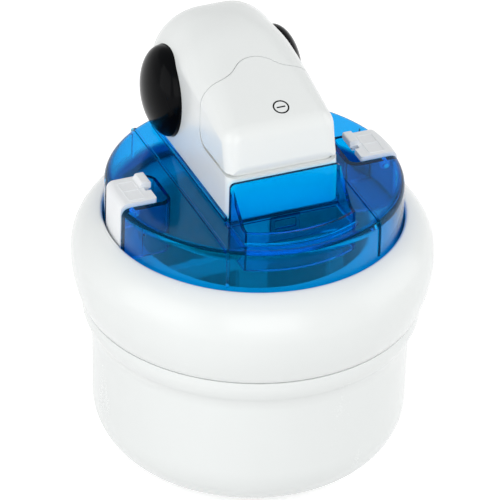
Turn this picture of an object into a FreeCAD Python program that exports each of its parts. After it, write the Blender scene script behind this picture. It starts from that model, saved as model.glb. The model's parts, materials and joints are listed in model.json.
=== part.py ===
import math
import os
import re

import FreeCAD
import Part
import Sketcher
from FreeCAD import Placement, Rotation, Vector

# Ice cream maker with a freezer bowl and a lift-off motor unit.
# Frame: origin under the middle of the tub, +Z up, the filler chute at the front (-Y), millimetres.

DIMENSIONS = [
    ("wall", 2.5, "wall of the white mouldings"),
    ("play", 0.3, "clearance between pieces that come apart"),
    ("snug", 0.1, "clearance between pieces that are fitted once"),
    # Tub and ring
    ("foot_height", 2, "height of the tub floor over the table"),
    ("foot_radius", 9, "radius of a rubber foot"),
    ("foot_circle", 46, "radius of the circle of feet"),
    ("foot_recess", 1, "depth of the foot's seat in the tub"),
    ("tub_radius", 92, "tub radius above the rounded foot"),
    ("tub_round", 32.5, "rounding of the tub's lower edge"),
    ("tub_flare", 1.3, "how much the tub widens up to the shoulder"),
    ("shoulder_low", 83.5, "height of the lower bend of the shoulder"),
    ("shoulder_high", 92.5, "height of the upper bend of the shoulder"),
    ("shoulder_round", 17, "radius of the shoulder's two bends"),
    ("seam_radius", 99.4, "tub radius at the seam"),
    ("seam_height", 101.5, "height of the tub's visible edge"),
    ("seam_gap", 0.8, "shadow gap between tub and ring"),
    ("spigot_radius", 96.6, "radius of the tub's spigot inside the ring"),
    ("spigot_inner", 94.2, "inner radius of the spigot"),
    ("spigot_top", 108, "height of the spigot's end"),
    ("seat_inner", 50, "inner radius of the rib that carries the bowl"),
    ("seat_outer", 53, "outer radius of that rib"),
    ("seat_top", 14, "height of that rib"),
    ("bulge_radius", 106.2, "largest radius of the ring"),
    ("bulge_height", 132, "height of the largest radius"),
    ("bulge_low_arc", 71, "profile radius below the bulge"),
    ("bulge_top_arc", 27.5, "profile radius above the bulge"),
    ("opening_radius", 88, "radius of the opening in the ring"),
    ("opening_drop", 151, "height of the lower end of the opening's lip"),
    ("lip_wall", 2, "thickness of the opening's lip"),
    ("lip_round", 1.5, "rounding of the lip's edge"),
    ("lip_arc", 1.575, "profile radius of the ring's lip"),
    # Freezer bowl
    ("liner_top_radius", 68, "inner radius of the bowl at the top"),
    ("liner_low_radius", 64, "inner radius of the bowl at the bottom"),
    ("liner_round", 14, "inner rounding at the bottom of the bowl"),
    ("liner_wall", 1.5, "thickness of the aluminium liner"),
    ("liner_floor", 26, "height of the liner's inner floor"),
    ("jacket_top_radius", 84, "outer radius of the jacket at the top"),
    ("jacket_low_radius", 74, "outer radius of the jacket at the bottom"),
    ("jacket_round", 18, "rounding at the bottom of the jacket"),
    ("jacket_wall", 2, "thickness of the jacket"),
    ("rim_low", 143, "height where the rim sits on liner and jacket"),
    ("rim_top", 148, "height of the bowl's rim"),
    ("rim_radius", 86, "outer radius of the rim"),
    ("rim_skirt", 137, "height of the lower end of the rim's skirt"),
    ("fill_top", 139, "level of the coolant"),
    # Lid
    ("lid_top", 181.8, "height of the lid's top face"),
    ("lid_low", 148.3, "height of the lid's lower edge"),
    ("lid_radius", 87.2, "outer radius of the lid"),
    ("lid_wall", 2.2, "wall of the lid"),
    ("lid_round", 5, "rounding of the lid's top edge"),
    ("notch_inner", 57, "distance of a latch notch's inner end from the middle"),
    ("notch_front", 9.5, "reach of a latch notch towards the front"),
    ("notch_back", 20.5, "reach of a latch notch towards the back"),
    ("notch_round", 5, "rounding of the notch's inner corners"),
    ("rib_place", 47, "distance of a lid rib from the middle"),
    ("rib_wide", 1.6, "width of a lid rib"),
    ("rib_proud", 0.9, "height of a lid rib over the lid"),
    ("rib_low", 159, "height where a rib ends on the lid's wall"),
    ("shaft_hole", 7, "radius of the shaft's hole in the lid"),
    ("foot_rim_wide", 1.6, "thickness of the low rim round the motor unit"),
    ("foot_rim_high", 3, "height of that rim"),
    # Filler chute
    ("chute_half", 34.3, "half the width of the chute"),
    ("chute_back", 43.2, "distance of the panel's back face from the middle"),
    ("chute_front", 75.5, "radius of the chute's curved front wall"),
    ("chute_wall", 2, "wall of the chute"),
    ("chute_low", 163.3, "height of the chute's lower end"),
    ("chute_panel_top", 207.5, "height of the back panel"),
    ("chute_front_top", 188, "height of the curved front wall"),
    ("chute_slope_start", 203.5, "height where the sloping side walls start"),
    ("chute_slope_end", 62, "distance from the middle where the slope ends"),
    ("chute_corner", 3, "rounding of the panel's top corners"),
    ("ledge_wide", 1.6, "width of the ledge under the lid"),
    ("ledge_high", 1.4, "thickness of that ledge"),
    ("tab_half", 9, "half the width of the snap tab's frame"),
    ("tab_top", 180.3, "upper edge of that frame"),
    ("tab_low", 169.8, "lower edge of that frame"),
    ("tab_bar", 2.4, "width of the frame's bars"),
    ("tab_proud", 1.3, "thickness of the frame"),
    # Latches
    ("latch_inner", 64, "distance of a latch's inner edge from the middle"),
    ("latch_outer", 86.9, "distance of a latch's outer face from the middle"),
    ("latch_front", 8, "reach of a latch towards the front"),
    ("latch_back", 19, "reach of a latch towards the back"),
    ("latch_top", 183.6, "height of a latch's top face"),
    ("latch_plate", 3.4, "thickness of the latch's top plate"),
    ("latch_leg", 2.6, "thickness of the latch's leg"),
    ("latch_low", 150.6, "height of the leg's lower end"),
    ("latch_round", 4, "outer rounding from plate to leg"),
    ("latch_pivot", 78.5, "distance of the latch's pivot from the middle"),
    ("latch_pivot_high", 175.5, "height of the latch's pivot"),
    ("latch_boss", 3.4, "radius of the boss round the pivot"),
    ("latch_pin", 1.6, "radius of the pivot pins"),
    ("pin_play", 0.06, "running clearance of the pivot pins"),
    ("latch_tab_long", 1.5, "how far the finger tab reaches inwards"),
    ("latch_tab_deep", 5.5, "depth of the finger tab on the plate"),
    ("latch_tab_start", 6, "distance of the finger tab's front from the middle"),
    ("latch_tab_wide", 11, "width of the finger tab"),
    ("latch_tab_round", 1, "rounding of the finger tab"),
    ("latch_tab_rise", 3, "how far the finger tab stands up"),
    # Motor unit
    ("motor_half", 34.5, "half the width of the motor unit"),
    ("motor_front", 42.5, "distance of its front face from the middle"),
    ("motor_back", 80, "distance of its back from the middle, at the foot"),
    ("dome_back", 91.9, "distance of the dome's rear corner from the middle"),
    ("motor_top", 82.1, "height of its dome over the lid"),
    ("motor_rear_round", 13, "rounding of its back corners at the foot"),
    ("front_high", 29.5, "height of the front face over the lid"),
    ("front_bend", 25, "bend from the front face to the leaning nose"),
    ("nose_reach", 37.3, "distance of the nose's corner from the middle"),
    ("nose_high", 53.9, "height of the nose's corner over the lid"),
    ("nose_round", 12, "rounding of the nose"),
    ("brow_place", 36.2, "where the slope of the nose meets the dome's height"),
    ("brow_round", 66, "bend from the slope to the dome"),
    ("dome_round", 36.9, "rounding of the dome towards the back"),
    ("side_round_1", 6, "rounding of the side edges at the front foot"),
    ("side_round_2", 7, "the same where the front starts to lean"),
    ("side_round_3", 8, "the same below the nose"),
    ("side_round_4", 9, "the same where the nose starts to turn"),
    ("side_round_5", 10.8, "the same at the start of the slope"),
    ("side_round_6", 24, "the same at the end of the slope"),
    ("side_round_7", 31, "the same at the front of the dome"),
    ("side_round_8", 31, "the same at the back of the dome"),
    ("side_round_9", 12.5, "the same below the dome"),
    # Nose button
    ("seam_play", 0.6, "gap of the seam round the nose button"),
    ("cap_low", 29.5, "height of the nose button's lower edge over the lid"),
    ("cap_travel_gap", 2.2, "gap below the nose button"),
    ("cap_side", 1.3, "where the button ends on the sides"),
    ("cap_corner", 9, "rounding of its lower back corners"),
    ("cap_side_top", 50, "height over the lid where the seam turns onto the top"),
    ("bell_apex", 10.8, "furthest reach of the bell seam to the back"),
    ("bell_apex_half", 5.9, "half the width of the bell's crown"),
    ("bell_waist", 0.9, "reach of the bell's waist to the front"),
    ("bell_waist_half", 19, "half the width at the waist"),
    ("bell_side", 6.2, "reach to the back of the seam's line beside the waist, at twice the half width"),
    ("cap_bevel", 1.5, "depth of the bevel along the button's lower front edge"),
    ("cap_bevel_high", 5.2, "height of that bevel"),
    ("bell_round", 15, "bends of the bell seam"),
    ("tongue_half", 27, "half the width of the tongue behind the front face"),
    ("tongue_back", 37.2, "distance of the tongue's back from the middle"),
    ("tongue_low", 24, "height of the tongue's lower end over the lid"),
    ("presser_place", 27, "distance of the switch presser from the middle"),
    ("presser_radius", 3, "radius of the switch presser"),
    # Release buttons
    ("ear_place", 53, "distance of a release button's middle from the axis"),
    ("ear_high", 33.5, "height of its middle over the lid"),
    ("ear_long", 24, "half its length"),
    ("ear_tall", 28.15, "half its height"),
    ("ear_proud", 13.7, "how far it stands out of the housing"),
    ("ear_skirt", 4.5, "depth of its skirt inside the housing"),
    ("ear_wall", 2.5, "wall of its skirt"),
    ("ear_lip", 1.8, "width of the stop lip inside the housing"),
    # Drive
    ("plate_thick", 2.5, "thickness of the motor unit's floor"),
    ("bush_outer", 7, "outer radius of the shaft bush"),
    ("bush_high", 6, "height of the shaft bush"),
    ("shaft_radius", 4, "radius of the drive shaft"),
    ("run_play", 0.05, "running clearance of the shafts"),
    ("shaft_low", 152, "height of the shaft's lower end"),
    ("shaft_square", 5.6, "width of the shaft's square end"),
    ("shaft_square_top", 177, "height where the square begins"),
    ("gear_module", 1, "module of the gears"),
    ("wheel_teeth", 40, "teeth of the two large wheels"),
    ("small_teeth", 12, "teeth of the compound gear's small wheel"),
    ("pinion_teeth", 10, "teeth of the motor's pinion"),
    ("tooth_thick", 1.1, "tooth thickness at the pitch circle"),
    ("tooth_tip", 0.85, "tooth height over the pitch circle"),
    ("tooth_root", 1.25, "tooth depth under the pitch circle"),
    ("flank_angle", 16, "lean of a tooth's flanks, in degrees"),
    ("wheel_low", 6.5, "height of the output wheel over the lid"),
    ("wheel_thick", 8, "thickness of the output wheel"),
    ("stage_low", 16.5, "height of the second stage over the lid"),
    ("stage_thick", 5, "thickness of the second stage"),
    ("axle_radius", 3, "radius of the compound gear's axle"),
    ("deck_low", 24, "height of the gearbox plate over the lid"),
    ("deck_thick", 3, "thickness of the gearbox plate"),
    ("deck_half", 24, "half the width of the gearbox plate"),
    ("deck_front", 22, "reach of the gearbox plate to the front"),
    ("deck_back", 70, "reach of the gearbox plate to the back"),
    ("post_radius", 3, "radius of the gearbox posts"),
    ("post_front", 16, "distance of the front posts from the axis"),
    ("post_back", 63, "distance of the back posts from the axis"),
    ("post_half", 20, "distance of the posts from the middle plane"),
    ("can_radius", 16.5, "radius of the motor"),
    ("can_long", 38, "length of the motor"),
    ("neck_radius", 5.5, "radius of the motor's neck and bearing cap"),
    ("spindle_radius", 1.5, "radius of the motor's spindle"),
    ("spindle_long", 12, "length of the spindle inside the motor"),
    # Small pieces of the motor unit
    ("screw_radius", 1.5, "radius of a screw's shank"),
    ("screw_head", 3, "radius of a screw's head"),
    ("screw_sink", 1.5, "depth of the head's seat"),
    ("screw_long", 12, "length of a screw"),
    ("screw_boss", 6.2, "radius of a screw boss"),
    ("screw_front", 34, "distance of the front screws from the axis"),
    ("screw_front_half", 27.5, "distance of the front screws from the middle plane"),
    ("screw_back", 72.5, "distance of the back screws from the axis"),
    ("screw_back_half", 12, "distance of the back screws from the middle plane"),
    ("gland_high", 14, "height of the lead's inlet over the lid"),
    ("gland_hole", 5, "radius of the hole for the inlet"),
    ("gland_flange", 7, "radius of the inlet's flange"),
    ("gland_bore", 3, "radius of the inlet's bore"),
    ("gland_proud", 1.5, "thickness of the inlet's flange"),
    ("switch_half", 10, "half the width of the power switch"),
    ("switch_deep", 7, "depth of the power switch"),
    ("switch_tall", 12, "height of the power switch"),
    ("switch_stand", 22, "height of the switch's stand over the lid"),
    ("switch_key", 3, "height of the switch's key"),
    # Paddle
    ("paddle_half", 58, "reach of the paddle"),
    ("paddle_low", 33, "height of the paddle's lower edge"),
    ("paddle_top", 128, "height of the paddle's blades"),
    ("paddle_thick", 5, "thickness of the paddle's frame"),
    ("paddle_round", 12, "rounding of the paddle's lower corners"),
    ("paddle_bar", 9, "width of the paddle's bars"),
    ("hub_radius", 9, "radius of the paddle's hub"),
    ("hub_top", 174, "height of the hub's top"),
    ("socket_play", 0.3, "clearance of the shaft's square in the hub"),
]

doc = FreeCAD.newDocument("ice_cream_maker")
dims = doc.addObject("Spreadsheet::Sheet", "dims")
ALIASES = set()
for row, (alias, size, note) in enumerate(DIMENSIONS, start=1):
    dims.set(f"A{row}", alias)
    dims.set(f"B{row}", str(size))
    dims.setAlias(f"B{row}", alias)
    dims.set(f"C{row}", note)
    ALIASES.add(alias)
doc.recompute()


def bound(text):
    """An expression in the sheet's words, with each word pointing at its cell."""
    words = re.split(r"([a-z_]+)", text)
    return "".join(f"dims.{word}" if word in ALIASES else word for word in words)


def size_of(text):
    """The present value of an expression in the sheet's words."""
    return float(dims.evalExpression(bound(text)))


def bind(item, **sizes):
    """Bind properties of an object to the sheet, such as bind(pad, Length="wall")."""
    for name, text in sizes.items():
        item.setExpression(name.replace("__", "."), bound(text))
    return item


def constrain(sketch, kind, place, text):
    """A dimension of a sketch, bound to the sheet unless it is a plain number."""
    index = sketch.addConstraint(Sketcher.Constraint(kind, *place, size_of(text)))
    if set(re.findall(r"[a-z_]+", text)) & ALIASES:
        sketch.setExpression(f"Constraints[{index}]", bound(text))


def pin_point(sketch, geometry, end, x, y):
    constrain(sketch, "DistanceX", (geometry, end), x)
    constrain(sketch, "DistanceY", (geometry, end), y)


class Edge:
    """One line or arc of an outline, with the numbers of its first and last point."""

    def __init__(self, sketch, first, last, radius=0.0):
        if radius:
            chord = last - first
            middle = (first + last) / 2
            reach = math.sqrt(max(radius * radius - chord.Length ** 2 / 4, 0.0))
            side = Vector(-chord.y, chord.x, 0).normalize() * math.copysign(reach, radius)
            centre = middle + side
            circle = Part.Circle(centre, Vector(0, 0, 1), abs(radius))
            ends = (first, last) if radius > 0 else (last, first)
            angles = [math.atan2(point.y - centre.y, point.x - centre.x) for point in ends]
            curve = Part.ArcOfCircle(circle, *angles)
        else:
            curve = Part.LineSegment(first, last)
        self.index = sketch.addGeometry(curve)
        self.first = (self.index, 2 if radius < 0 else 1)
        self.last = (self.index, 1 if radius < 0 else 2)


def outline(sketch, *corners):
    """A closed outline. A corner is (x, y), or (x, y, radius) where it is rounded, or
    (x, y, "arc", radius) where an arc arrives at it, turning left if the radius is positive."""
    count = len(corners)
    points = [Vector(size_of(corner[0]), size_of(corner[1]), 0) for corner in corners]
    rounds = [corner[2] if len(corner) == 3 else None for corner in corners]
    arcs = [corner[3] if len(corner) == 4 else None for corner in corners]
    arrive = list(points)
    leave = list(points)
    turns = {}
    for place, radius in enumerate(rounds):
        if radius:
            back = (points[place - 1] - points[place]).normalize()
            ahead = (points[(place + 1) % count] - points[place]).normalize()
            turn = math.pi - back.getAngle(ahead)
            reach = size_of(radius) * math.tan(turn / 2)
            arrive[place] = points[place] + back * reach
            leave[place] = points[place] + ahead * reach
            turns[place] = -math.copysign(1, back.cross(ahead).z)
    edges = []
    for place in range(count):
        following = (place + 1) % count
        radius = size_of(arcs[following]) if arcs[following] else 0.0
        edges.append(Edge(sketch, leave[place], arrive[following], radius))
    for place in range(count):
        before, after = edges[place - 1], edges[place]
        x, y = corners[place][:2]
        if arcs[place]:
            constrain(sketch, "Radius", (before.index,), arcs[place].lstrip("-"))
        if rounds[place]:
            bend = Edge(sketch, arrive[place], leave[place], size_of(rounds[place]) * turns[place])
            corner = sketch.addGeometry(Part.Point(points[place]), True)
            sketch.addConstraint(Sketcher.Constraint("Tangent", *before.last, *bend.first))
            sketch.addConstraint(Sketcher.Constraint("Tangent", *bend.last, *after.first))
            sketch.addConstraint(Sketcher.Constraint("PointOnObject", corner, 1, before.index))
            sketch.addConstraint(Sketcher.Constraint("PointOnObject", corner, 1, after.index))
            constrain(sketch, "Radius", (bend.index,), rounds[place])
            pin_point(sketch, corner, 1, x, y)
        else:
            sketch.addConstraint(Sketcher.Constraint("Coincident", *before.last, *after.first))
            pin_point(sketch, *after.first, x, y)


def circle(sketch, radius, x="0", y="0"):
    middle = Vector(size_of(x), size_of(y), 0)
    ring = sketch.addGeometry(Part.Circle(middle, Vector(0, 0, 1), size_of(radius)))
    constrain(sketch, "Radius", (ring,), radius)
    pin_point(sketch, ring, 3, x, y)


def new_body(label):
    return doc.addObject("PartDesign::Body", label)


def sketch_on(body, role, offset="0"):
    """A sketch on one of the body's own origin planes, moved along that plane's normal."""
    plane = next(item for item in body.Origin.OriginFeatures if item.Role == role)
    sketch = body.newObject("Sketcher::SketchObject", f"{body.Name}_sketch")
    sketch.AttachmentSupport = [(plane, "")]
    sketch.MapMode = "FlatFace"
    bind(sketch, AttachmentOffset__Base__z=offset)
    return sketch


def revolve(body, *corners):
    """Turn a half profile, in radius and height, round the vertical axis."""
    sketch = sketch_on(body, "XZ_Plane")
    outline(sketch, *corners)
    turned = body.newObject("PartDesign::Revolution", f"{body.Name}_turned")
    turned.Profile = sketch
    turned.ReferenceAxis = (sketch, ["V_Axis"])
    turned.Angle = 360
    doc.recompute()
    return turned


def pad(body, sketch, length, middle=False):
    raised = body.newObject("PartDesign::Pad", f"{body.Name}_pad")
    raised.Profile = sketch
    raised.SideType = "Symmetric" if middle else "One side"
    bind(raised, Length=length)
    doc.recompute()
    return raised


def pocket(body, sketch, length, upwards=False, middle=False):
    """Cut a sketch's outline out of the body, against the sketch's normal unless told upwards."""
    before = body.Shape.Volume
    cut = body.newObject("PartDesign::Pocket", f"{body.Name}_pocket")
    cut.Profile = sketch
    cut.SideType = "Symmetric" if middle else "One side"
    cut.Reversed = upwards
    bind(cut, Length=length)
    doc.recompute()
    if body.Shape.Volume > before - 1e-6:
        raise RuntimeError(f"{body.Name}: a pocket cuts nothing")
    return cut


def mirror(body, features, role="YZ_Plane"):
    copy = body.newObject("PartDesign::Mirrored", f"{body.Name}_mirror")
    copy.Originals = features
    copy.MirrorPlane = (next(item for item in body.Origin.OriginFeatures if item.Role == role), [""])
    body.Tip = copy
    doc.recompute()
    return copy


def round_edges(body, radius, chosen):
    """Round those edges of the body's last feature that the test picks."""
    base = body.Tip
    names = [f"Edge{place}" for place, edge in enumerate(base.Shape.Edges, start=1) if chosen(edge)]
    if not names:
        raise RuntimeError(f"{body.Name}: no edge to round")
    rounded = body.newObject("PartDesign::Fillet", f"{body.Name}_round")
    rounded.Base = (base, names)
    bind(rounded, Radius=radius)
    doc.recompute()
    return rounded


TOUCH = 0.01


def near(number, text):
    return abs(number - size_of(text)) < TOUCH


# Tub: turned shell with a rounded foot, a shoulder, a spigot for the ring and a rib that carries the bowl
lower_body = new_body("lower_body")
revolve(
    lower_body,
    ("0", "foot_height"),
    ("tub_radius", "foot_height", "tub_round"),
    ("tub_radius + tub_flare", "shoulder_low", "shoulder_round"),
    ("seam_radius", "shoulder_high", "shoulder_round"),
    ("seam_radius", "seam_height"),
    ("spigot_radius", "seam_height"),
    ("spigot_radius", "spigot_top"),
    ("spigot_inner", "spigot_top"),
    ("spigot_inner", "shoulder_high", "shoulder_round - wall"),
    ("tub_radius + tub_flare - wall", "shoulder_low", "shoulder_round - wall"),
    ("tub_radius - wall", "foot_height + wall", "tub_round - wall"),
    ("seat_outer", "foot_height + wall"),
    ("seat_outer", "seat_top"),
    ("seat_inner", "seat_top"),
    ("seat_inner", "foot_height + wall"),
    ("0", "foot_height + wall"),
)
foot_seats = sketch_on(lower_body, "XY_Plane", "foot_height")
FOOT_REACH = "foot_circle / sqrt(2)"
SIDES = (1, -1)
FOOT_PLACES = [
    (f"{along} * {FOOT_REACH}", f"{across} * {FOOT_REACH}")
    for along in SIDES
    for across in SIDES
]
for x, y in FOOT_PLACES:
    circle(foot_seats, "foot_radius + snug", x, y)
pocket(lower_body, foot_seats, "foot_recess", upwards=True)

# Rubber feet: four discs pressed into their seats under the tub
rubber_feet = new_body("rubber_feet")
feet = sketch_on(rubber_feet, "XY_Plane")
for x, y in FOOT_PLACES:
    circle(feet, "foot_radius", x, y)
pad(rubber_feet, feet, "foot_height + foot_recess")
round_edges(rubber_feet, "foot_recess", lambda edge: near(edge.BoundBox.ZMax, "0"))

# Ring: turned shell that bulges out above the seam and ends in the rolled lip of the opening
upper_ring = new_body("upper_ring")
RING_LOW = "seam_height + seam_gap"
CENTRE_LOW = "bulge_radius - bulge_low_arc"
CENTRE_TOP = "bulge_radius - bulge_top_arc"
LIP_EDGE = "opening_radius + lip_round"


def on_arc(centre, arc, height):
    """Radius of the ring's profile at a height, on an arc centred at the bulge."""
    return f"{centre} + sqrt(({arc})^2 - ({height} - bulge_height)^2)"


def arc_height(centre, arc, radius):
    """Height of the ring's profile at a radius, on an arc centred at the bulge."""
    return f"bulge_height + sqrt(({arc})^2 - ({radius} - ({centre}))^2)"


LIP_TOP = arc_height(CENTRE_TOP, "bulge_top_arc", LIP_EDGE)
LIP_BACK = "opening_radius + lip_wall"
SLEEVE_TOP = "spigot_top + snug"
SLEEVE_ARC_END = on_arc(CENTRE_LOW, "bulge_low_arc - wall", f"({SLEEVE_TOP})")
revolve(
    upper_ring,
    ("spigot_radius + snug", RING_LOW),
    (on_arc(CENTRE_LOW, "bulge_low_arc", f"({RING_LOW})"), RING_LOW),
    ("bulge_radius", "bulge_height", "arc", "bulge_low_arc"),
    (LIP_EDGE, LIP_TOP, "arc", "bulge_top_arc"),
    ("opening_radius", f"{LIP_TOP} - lip_round", "arc", "lip_arc"),
    ("opening_radius", "opening_drop"),
    (LIP_BACK, "opening_drop"),
    (LIP_BACK, arc_height(CENTRE_TOP, "bulge_top_arc - wall", f"({LIP_BACK})")),
    ("bulge_radius - wall", "bulge_height", "arc", "-(bulge_top_arc - wall)"),
    (SLEEVE_ARC_END, SLEEVE_TOP, "arc", "-(bulge_low_arc - wall)"),
    ("spigot_radius + snug", SLEEVE_TOP),
)

# Freezer bowl: aluminium liner, plastic jacket, the coolant between them and a rim that closes the gap
bowl_liner = new_body("bowl_liner")
LINER_OUT_TOP = "liner_top_radius + liner_wall"
LINER_OUT_LOW = "liner_low_radius + liner_wall"
revolve(
    bowl_liner,
    ("0", "liner_floor - liner_wall"),
    (LINER_OUT_LOW, "liner_floor - liner_wall", "liner_round + liner_wall"),
    (LINER_OUT_TOP, "rim_low"),
    ("liner_top_radius", "rim_low"),
    ("liner_low_radius", "liner_floor", "liner_round"),
    ("0", "liner_floor"),
)

bowl_jacket = new_body("bowl_jacket")
revolve(
    bowl_jacket,
    ("0", "seat_top"),
    ("jacket_low_radius", "seat_top", "jacket_round"),
    ("jacket_top_radius", "rim_low"),
    ("jacket_top_radius - jacket_wall", "rim_low"),
    ("jacket_low_radius - jacket_wall", "seat_top + jacket_wall", "jacket_round - jacket_wall"),
    ("0", "seat_top + jacket_wall"),
)

coolant_fill = new_body("coolant_fill")


def along_wall(low_radius, low_height, top_radius, height):
    """Radius of a straight tapered wall of the bowl at a height."""
    share = f"({height} - ({low_height})) / (rim_low - ({low_height}))"
    return f"({low_radius}) + (({top_radius}) - ({low_radius})) * {share}"


FILL_LOW = "seat_top + jacket_wall + snug"
FILL_OUT_LOW = "jacket_low_radius - jacket_wall - play"
FILL_OUT_TOP = "jacket_top_radius - jacket_wall - play"
FILL_IN_LOW = f"{LINER_OUT_LOW} + play"
FILL_IN_TOP = f"{LINER_OUT_TOP} + play"
FILL_FLOOR = "liner_floor - liner_wall - snug"
revolve(
    coolant_fill,
    ("0", FILL_LOW),
    (FILL_OUT_LOW, FILL_LOW, "jacket_round - jacket_wall"),
    (along_wall(FILL_OUT_LOW, FILL_LOW, FILL_OUT_TOP, "fill_top"), "fill_top"),
    (along_wall(FILL_IN_LOW, FILL_FLOOR, FILL_IN_TOP, "fill_top"), "fill_top"),
    (FILL_IN_LOW, FILL_FLOOR, "liner_round + liner_wall"),
    ("0", FILL_FLOOR),
)

bowl_rim = new_body("bowl_rim")
revolve(
    bowl_rim,
    ("liner_top_radius", "rim_low"),
    ("liner_top_radius", "rim_top", "lip_round"),
    ("rim_radius", "rim_top", "lip_round"),
    ("rim_radius", "rim_skirt"),
    ("jacket_top_radius + snug", "rim_skirt"),
    ("jacket_top_radius + snug", "rim_low"),
)


# Lid: round cap with a notch for each latch, hollow from below, with ribs and a rim round the motor unit
lid_shell = new_body("lid_shell")


def lid_plan(sketch, inset):
    """Plan of the lid, drawn in by a wall's thickness for its hollow."""
    radius = f"(lid_radius - {inset})"
    front = f"(notch_front + {inset})"
    back = f"(notch_back + {inset})"
    inner = f"(notch_inner - {inset})"
    bend = f"notch_round + {inset}"
    mouth_front = f"sqrt({radius}^2 - {front}^2)"
    mouth_back = f"sqrt({radius}^2 - {back}^2)"
    outline(
        sketch,
        (mouth_front, f"-{front}", "arc", radius),
        (inner, f"-{front}", bend),
        (inner, back, bend),
        (mouth_back, back),
        (f"-{mouth_back}", back, "arc", radius),
        (f"-{inner}", back, bend),
        (f"-{inner}", f"-{front}", bend),
        (f"-{mouth_front}", f"-{front}"),
    )


def chute_plan(sketch, grow):
    """Plan of the chute, straight at the back and the sides and curved at the front."""
    half = f"(chute_half + {grow})"
    back = f"(chute_back - {grow})"
    front = f"(chute_front + {grow})"
    corner = f"sqrt({front}^2 - {half}^2)"
    outline(
        sketch,
        (f"-{half}", f"-{back}"),
        (f"-{half}", f"-{corner}"),
        (half, f"-{corner}", "arc", front),
        (half, f"-{back}"),
    )


plan = sketch_on(lid_shell, "XY_Plane", "lid_low")
lid_plan(plan, "0")
pad(lid_shell, plan, "lid_top - lid_low")


def radius_of(edge):
    """Radius of a round edge, or 0."""
    return getattr(edge.Curve, "Radius", 0)


round_edges(
    lid_shell,
    "lid_round",
    lambda edge: near(edge.BoundBox.ZMin, "lid_top") and radius_of(edge) > size_of("notch_inner"),
)
hollow = sketch_on(lid_shell, "XY_Plane", "lid_low")
lid_plan(hollow, "lid_wall")
pocket(lid_shell, hollow, "lid_top - lid_low - lid_wall", upwards=True)
lid_holes = sketch_on(lid_shell, "XY_Plane", "lid_top")
circle(lid_holes, "shaft_hole")
chute_plan(lid_holes, "snug")
pocket(lid_shell, lid_holes, "2 * lid_wall")
pin_holes = sketch_on(lid_shell, "XZ_Plane")
for side in SIDES:
    circle(pin_holes, "latch_pin + pin_play", f"{side} * latch_pivot", "latch_pivot_high")
pocket(lid_shell, pin_holes, "3 * notch_back", middle=True)

foot_rim = sketch_on(lid_shell, "XY_Plane", "lid_top - lid_wall + snug")
RIM_IN = "(motor_half + play)"
RIM_OUT = "(motor_half + play + foot_rim_wide)"
RIM_BACK = "motor_back + 2 * play"
outline(
    foot_rim,
    (f"-{RIM_OUT}", "-motor_front"),
    (f"-{RIM_IN}", "-motor_front"),
    (f"-{RIM_IN}", RIM_BACK, "motor_rear_round"),
    (RIM_IN, RIM_BACK, "motor_rear_round"),
    (RIM_IN, "-motor_front"),
    (RIM_OUT, "-motor_front"),
    (RIM_OUT, f"{RIM_BACK} + foot_rim_wide", "motor_rear_round + foot_rim_wide"),
    (f"-{RIM_OUT}", f"{RIM_BACK} + foot_rim_wide", "motor_rear_round + foot_rim_wide"),
)
pad(lid_shell, foot_rim, "foot_rim_high + lid_wall - snug")

rib = sketch_on(lid_shell, "YZ_Plane", "rib_place")
RIB_END = "sqrt(lid_radius^2 - rib_place^2)"
RIB_OUT = f"({RIB_END} + rib_proud)"
RIB_IN = f"({RIB_END} - lid_wall / 2)"
outline(
    rib,
    (f"-{RIB_OUT}", "rib_low"),
    (f"-{RIB_IN}", "rib_low"),
    (f"-{RIB_IN}", "lid_top - lid_wall / 2", "lid_round"),
    (RIB_IN, "lid_top - lid_wall / 2", "lid_round"),
    (RIB_IN, "rib_low"),
    (RIB_OUT, "rib_low"),
    (RIB_OUT, "lid_top + rib_proud", "lid_round + rib_proud"),
    (f"-{RIB_OUT}", "lid_top + rib_proud", "lid_round + rib_proud"),
)
right_rib = pad(lid_shell, rib, "rib_wide", middle=True)
mirror(lid_shell, [right_rib])

# Filler chute: open box with a tall panel behind, sloping sides, a curved front and a ledge under the lid
filler_chute = new_body("filler_chute")
walls = sketch_on(filler_chute, "XY_Plane", "chute_low")
chute_plan(walls, "0")
chute_plan(walls, "-chute_wall")
pad(filler_chute, walls, "chute_panel_top - chute_low")
slope = sketch_on(filler_chute, "YZ_Plane")
PANEL_FACE = "-(chute_back + chute_wall)"
outline(
    slope,
    (PANEL_FACE, "chute_panel_top + wall"),
    ("-(chute_front + wall)", "chute_panel_top + wall"),
    ("-(chute_front + wall)", "chute_front_top"),
    ("-chute_slope_end", "chute_front_top", "lid_round"),
    (PANEL_FACE, "chute_slope_start"),
)
pocket(filler_chute, slope, "3 * chute_half", middle=True)
round_edges(
    filler_chute,
    "chute_corner",
    lambda edge: near(edge.BoundBox.ZMin, "chute_panel_top") and near(edge.Length, "chute_wall"),
)
ledge = sketch_on(filler_chute, "XY_Plane", "lid_top - lid_wall - snug - ledge_high")
chute_plan(ledge, "ledge_wide")
chute_plan(ledge, "-chute_wall / 2")
pad(filler_chute, ledge, "ledge_high")
tab = sketch_on(filler_chute, "XZ_Plane", "chute_back + chute_wall / 2")
for inset in ("0", "tab_bar"):
    outline(
        tab,
        (f"-(tab_half - {inset})", f"tab_low + {inset}"),
        (f"tab_half - {inset}", f"tab_low + {inset}"),
        (f"tab_half - {inset}", f"tab_top - {inset}"),
        (f"-(tab_half - {inset})", f"tab_top - {inset}"),
    )
pad(filler_chute, tab, "tab_proud + chute_wall / 2")

# Latch: top plate and leg follow the lid's round wall, with a boss and pins to rock on and a finger tab
right_latch = new_body("right_latch")
LATCH_LEG_IN = "(latch_outer - latch_leg)"


def on_round(radius, across):
    """Distance from the middle plane of a point on a circle, at a distance across."""
    return f"sqrt({radius}^2 - {across}^2)"


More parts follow.
